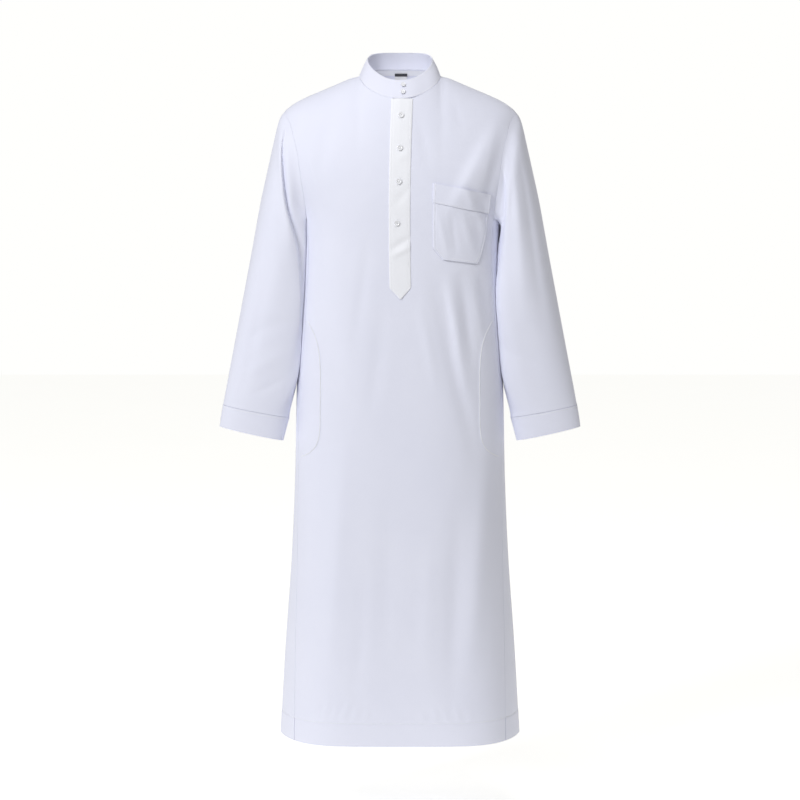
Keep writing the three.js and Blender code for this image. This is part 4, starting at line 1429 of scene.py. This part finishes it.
def hem_lines(gore):
    """The hem's stitch line, in its groove, over the front, the back and both gores."""
    z = HEM_LINE_Z
    edge = float(seam_x(z)) - 1
    lines = []
    for side in (-1, 1):
        x = np.linspace(-edge, edge, 160)
        lines.append(panel_line(side, x, np.full(160, float(z)), LINE_OFF["hem"]))
    row = int(np.argmin(np.abs(gore[:, 0, 2] - z)))
    for grid in (gore, mirror(gore)):
        lines.append(smooth_grid_line(grid, row, LINE_OFF["gore hem"], False))
    return lines


def cuff_lines(cuff):
    return [smooth_grid_line(grid, CUFF_STITCH_ROW, LINE_OFF["cuff"], True) for grid in (cuff, mirror(cuff))]


def edge_line(rows_x, rows_z, distance):
    return panel_line(-1, np.array(rows_x, float), np.array(rows_z, float), distance)


def placket_lines():
    """Stitch lines down both edges of the placket and across above its point."""
    z = np.linspace(PLACKET_SHOULDER_Z, PLACKET_TOP_Z, 150)
    middle = placket_middle(z)
    inset = PLACKET_HALF_WIDTH * PLACKET_LINE_INSET
    left = edge_line(middle - inset, z, LINE_OFF["placket"])
    right = edge_line(middle + inset, z, LINE_OFF["placket"])
    lower = float(placket_middle(PLACKET_SHOULDER_Z))
    point_x = [lower - inset, float(placket_middle(PLACKET_TIP_Z)), lower + inset]
    point_z = [PLACKET_SHOULDER_Z, PLACKET_TIP_Z + PLACKET_TIP_INSET, PLACKET_SHOULDER_Z]
    point = edge_line(point_x, point_z, LINE_OFF["placket point"])
    across = np.linspace(-inset, inset, 40) + float(placket_middle(PLACKET_SEAM_Z))
    seam = edge_line(across, np.full(40, float(PLACKET_SEAM_Z)), LINE_OFF["placket seam"])
    return [left, right, point, seam]


def pocket_lines():
    """Down one side of the chest pocket, along its foot and up the other."""
    rows = POCKET_ROWS
    inset = POCKET_STITCH_INSET
    x = [row["leftX"] + inset for row in rows] + [row["rightX"] - inset for row in rows[::-1]]
    z = [row["leftZ"] + inset * (row["level"] > POCKET_SIDE_LEVEL) for row in rows]
    z += [row["rightZ"] + inset * (row["level"] > POCKET_SIDE_LEVEL) for row in rows[::-1]]
    run = np.arange(len(x))
    fine = np.linspace(0, len(x) - 1, 220)
    outline = edge_line(np.interp(fine, run, x), np.interp(fine, run, z), LINE_OFF["pocket"])
    band = POCKET_BAND_ROWS
    sides = []
    for name, shift in (("left", inset), ("right", -inset)):
        level = np.linspace(0, 2, 20)
        x, z = (np.interp(level, [0, 1, 2], [row[name + axis] for row in band]) for axis in "XZ")
        sides.append(edge_line(x + shift, z, LINE_OFF["pocket band"]))
    share = np.linspace(0.04, 0.96, 60)
    foot = edge_line(mix(band[2]["leftX"], band[2]["rightX"], share),
                     mix(band[2]["leftZ"], band[2]["rightZ"], share) + BAND_FOOT_INSET,
                     band_distance(share) + LINE_OFF["band foot"])
    return [outline, foot] + sides


def side_pocket_lines():
    """The curved topstitching that holds each side pocket's bag to the front."""
    z = np.linspace(SIDE_POCKET_ROWS[-1]["z"], SIDE_POCKET_ROWS[0]["z"], 140)
    x = seam_x(z) - POCKET_SEAM_INSET - pocket_reach(z) + SWELL_EDGE / 2
    return [edge_line(sign * x, z, LINE_OFF["side pocket"]) for sign in (1, -1)]


def collar_lines():
    """Stitch lines near the collar's two edges, over its outer end and all round."""
    lap = COLLAR_LAP * DEGREES
    lines = []
    turn = np.linspace(-lap * 0.8, 2 * math.pi + lap * 0.2, 260)
    outward = outward_at(turn)
    lift = outward * (collar_lift(turn) + LINE_OFF["collar"])[:, None]
    for share in COLLAR_LINE_SHARES:
        lines.append((collar_point(turn, np.full(len(turn), share)) + lift, outward))
    return lines


def shoulder_lines():
    """Topstitching on the front side of each shoulder seam."""
    column = np.linspace(NECK_COLUMNS + 0.1, EDGE_COLUMN - 0.1, 60)
    lines = []
    for sign in (1, -1):
        points = upper_point(-1, sign * column, SHOULDER_LINE_SHARE)
        normals = body_normal(-1, points[:, 0], points[:, 2])
        lines.append((points + normals * LINE_OFF["shoulder"], normals))
    return lines


def make_stitching(gore, armhole):
    stitch_piece("hem_stitches", hem_lines(gore), BOLD_STITCH)
    stitch_piece("cuff_stitches", cuff_lines(cuff_grid(armhole, CUFF_STITCH_PLACES)), BOLD_STITCH)
    stitch_piece("placket_stitches", placket_lines())
    stitch_piece("pocket_stitches", pocket_lines(), BOLD_STITCH)
    stitch_piece("side_pocket_stitches", side_pocket_lines(), LINE_STITCH)
    stitch_piece("collar_stitches", collar_lines(), BOLD_STITCH)
    stitch_piece("shoulder_stitches", shoulder_lines())


PAPER_WHITE = (1, 1, 0.985, 1)
FLOOR_CORNERS = ((-9000, -9000), (9000, -9000), (9000, 12000), (-9000, 12000))
# The floor's glow, growing from its front to its back in metres, and the one the camera sees
FLOOR_GLOW = {"From Min": -1.1, "From Max": 0.0, "To Min": 0.0, "To Max": 0.66}
FLOOR_SEEN_GLOW = 0.68


def set_world():
    """A soft surround, which the camera sees as plain white."""
    world = bpy.data.worlds.new("white_surround")
    world.use_nodes = True
    tree = world.node_tree
    surround = tree.nodes["Background"]
    surround.inputs["Color"].default_value = (1, 0.985, 0.94, 1)
    surround.inputs["Strength"].default_value = 0.31
    seen = node(tree, "ShaderNodeBackground", Strength=1.0, Color=PAPER_WHITE)
    rays = tree.nodes.new("ShaderNodeLightPath")
    either = tree.nodes.new("ShaderNodeMixShader")
    link(tree, rays, "Is Camera Ray", either, 0)
    link(tree, surround, 0, either, 1)
    link(tree, seen, 0, either, 2)
    link(tree, either, 0, tree.nodes["World Output"], "Surface")
    bpy.context.scene.world = world
    bpy.context.scene.view_settings.view_transform = "Standard"


def set_stage():
    """A pale floor, which the camera sees as bright as the surround. It also glows behind
    the garment, and so lights it from below."""
    points = [(x, y, FLOOR_Z) for x, y in FLOOR_CORNERS]
    floor = mesh_object("pale_floor", points, [[0, 1, 2, 3]])
    material, tree, shader, coords = tinted_material("pale_paper", (0.93, 0.93, 0.92), (0.92, 0.92, 0.905),
                                                     0.9, scale=1.5)
    shader.inputs["Emission Color"].default_value = PAPER_WHITE
    place = tree.nodes.new("ShaderNodeSeparateXYZ")
    link(tree, coords, "Object", place, "Vector")
    glow = node(tree, "ShaderNodeMapRange", **FLOOR_GLOW)
    glow.interpolation_type = "SMOOTHSTEP"
    link(tree, place, "Y", glow, "Value")
    rays = tree.nodes.new("ShaderNodeLightPath")
    seen = node(tree, "ShaderNodeMapRange", **{"To Max": FLOOR_SEEN_GLOW})
    link(tree, rays, "Is Camera Ray", seen, "Value")
    link(tree, glow, "Result", seen, "To Min")
    link(tree, seen, "Result", shader, "Emission Strength")
    floor.data.materials.append(material)


def add_neck_light():
    """Light inside the neck, for what comes through the thin cloth in the photo."""
    lamp = add_light("neck_fill", (0, -0.02, -0.15), (0, 0.05, 0.03), 0.09, 0.085, (1, 1, 1))
    lamp.visible_camera = False


def add_light(name, place, target, size, power, colour):
    light = bpy.data.lights.new(name, "AREA")
    light.size = size
    light.energy = power
    light.color = colour
    lamp = bpy.data.objects.new(name, light)
    bpy.context.scene.collection.objects.link(lamp)
    direction = unit(np.array(place) - np.array(target))
    lamp.location = place
    lamp.rotation_euler = (math.acos(direction[2]), 0, math.atan2(direction[0], -direction[1]))
    return lamp


def add_camera():
    data = bpy.data.cameras.new("photo_camera")
    data.sensor_width = 36
    data.lens = 103.06
    camera = bpy.data.objects.new("photo_camera", data)
    camera.location = (0, -4.7, -0.246)
    camera.rotation_euler = (85 * DEGREES, 0, 0)
    bpy.context.scene.collection.objects.link(camera)
    bpy.context.scene.camera = camera


side_gore = gore_grid()
sleeve_armhole = armhole_of(side_gore)
make_panels()
make_sides(side_gore, sleeve_armhole)
make_trims()
make_buttons()
make_label()
make_neck_tape()
make_stitching(side_gore, sleeve_armhole)
set_world()
set_stage()
add_light("key", (-2.4, -3.3, 2.2), (0, 0, -0.4), 1.5, 130, (0.965, 0.975, 1))
add_light("collar_fill", (0.25, -1.1, 1.5), (0, 0, 0), 0.5, 7, (1, 1, 1))
add_neck_light()
add_camera()
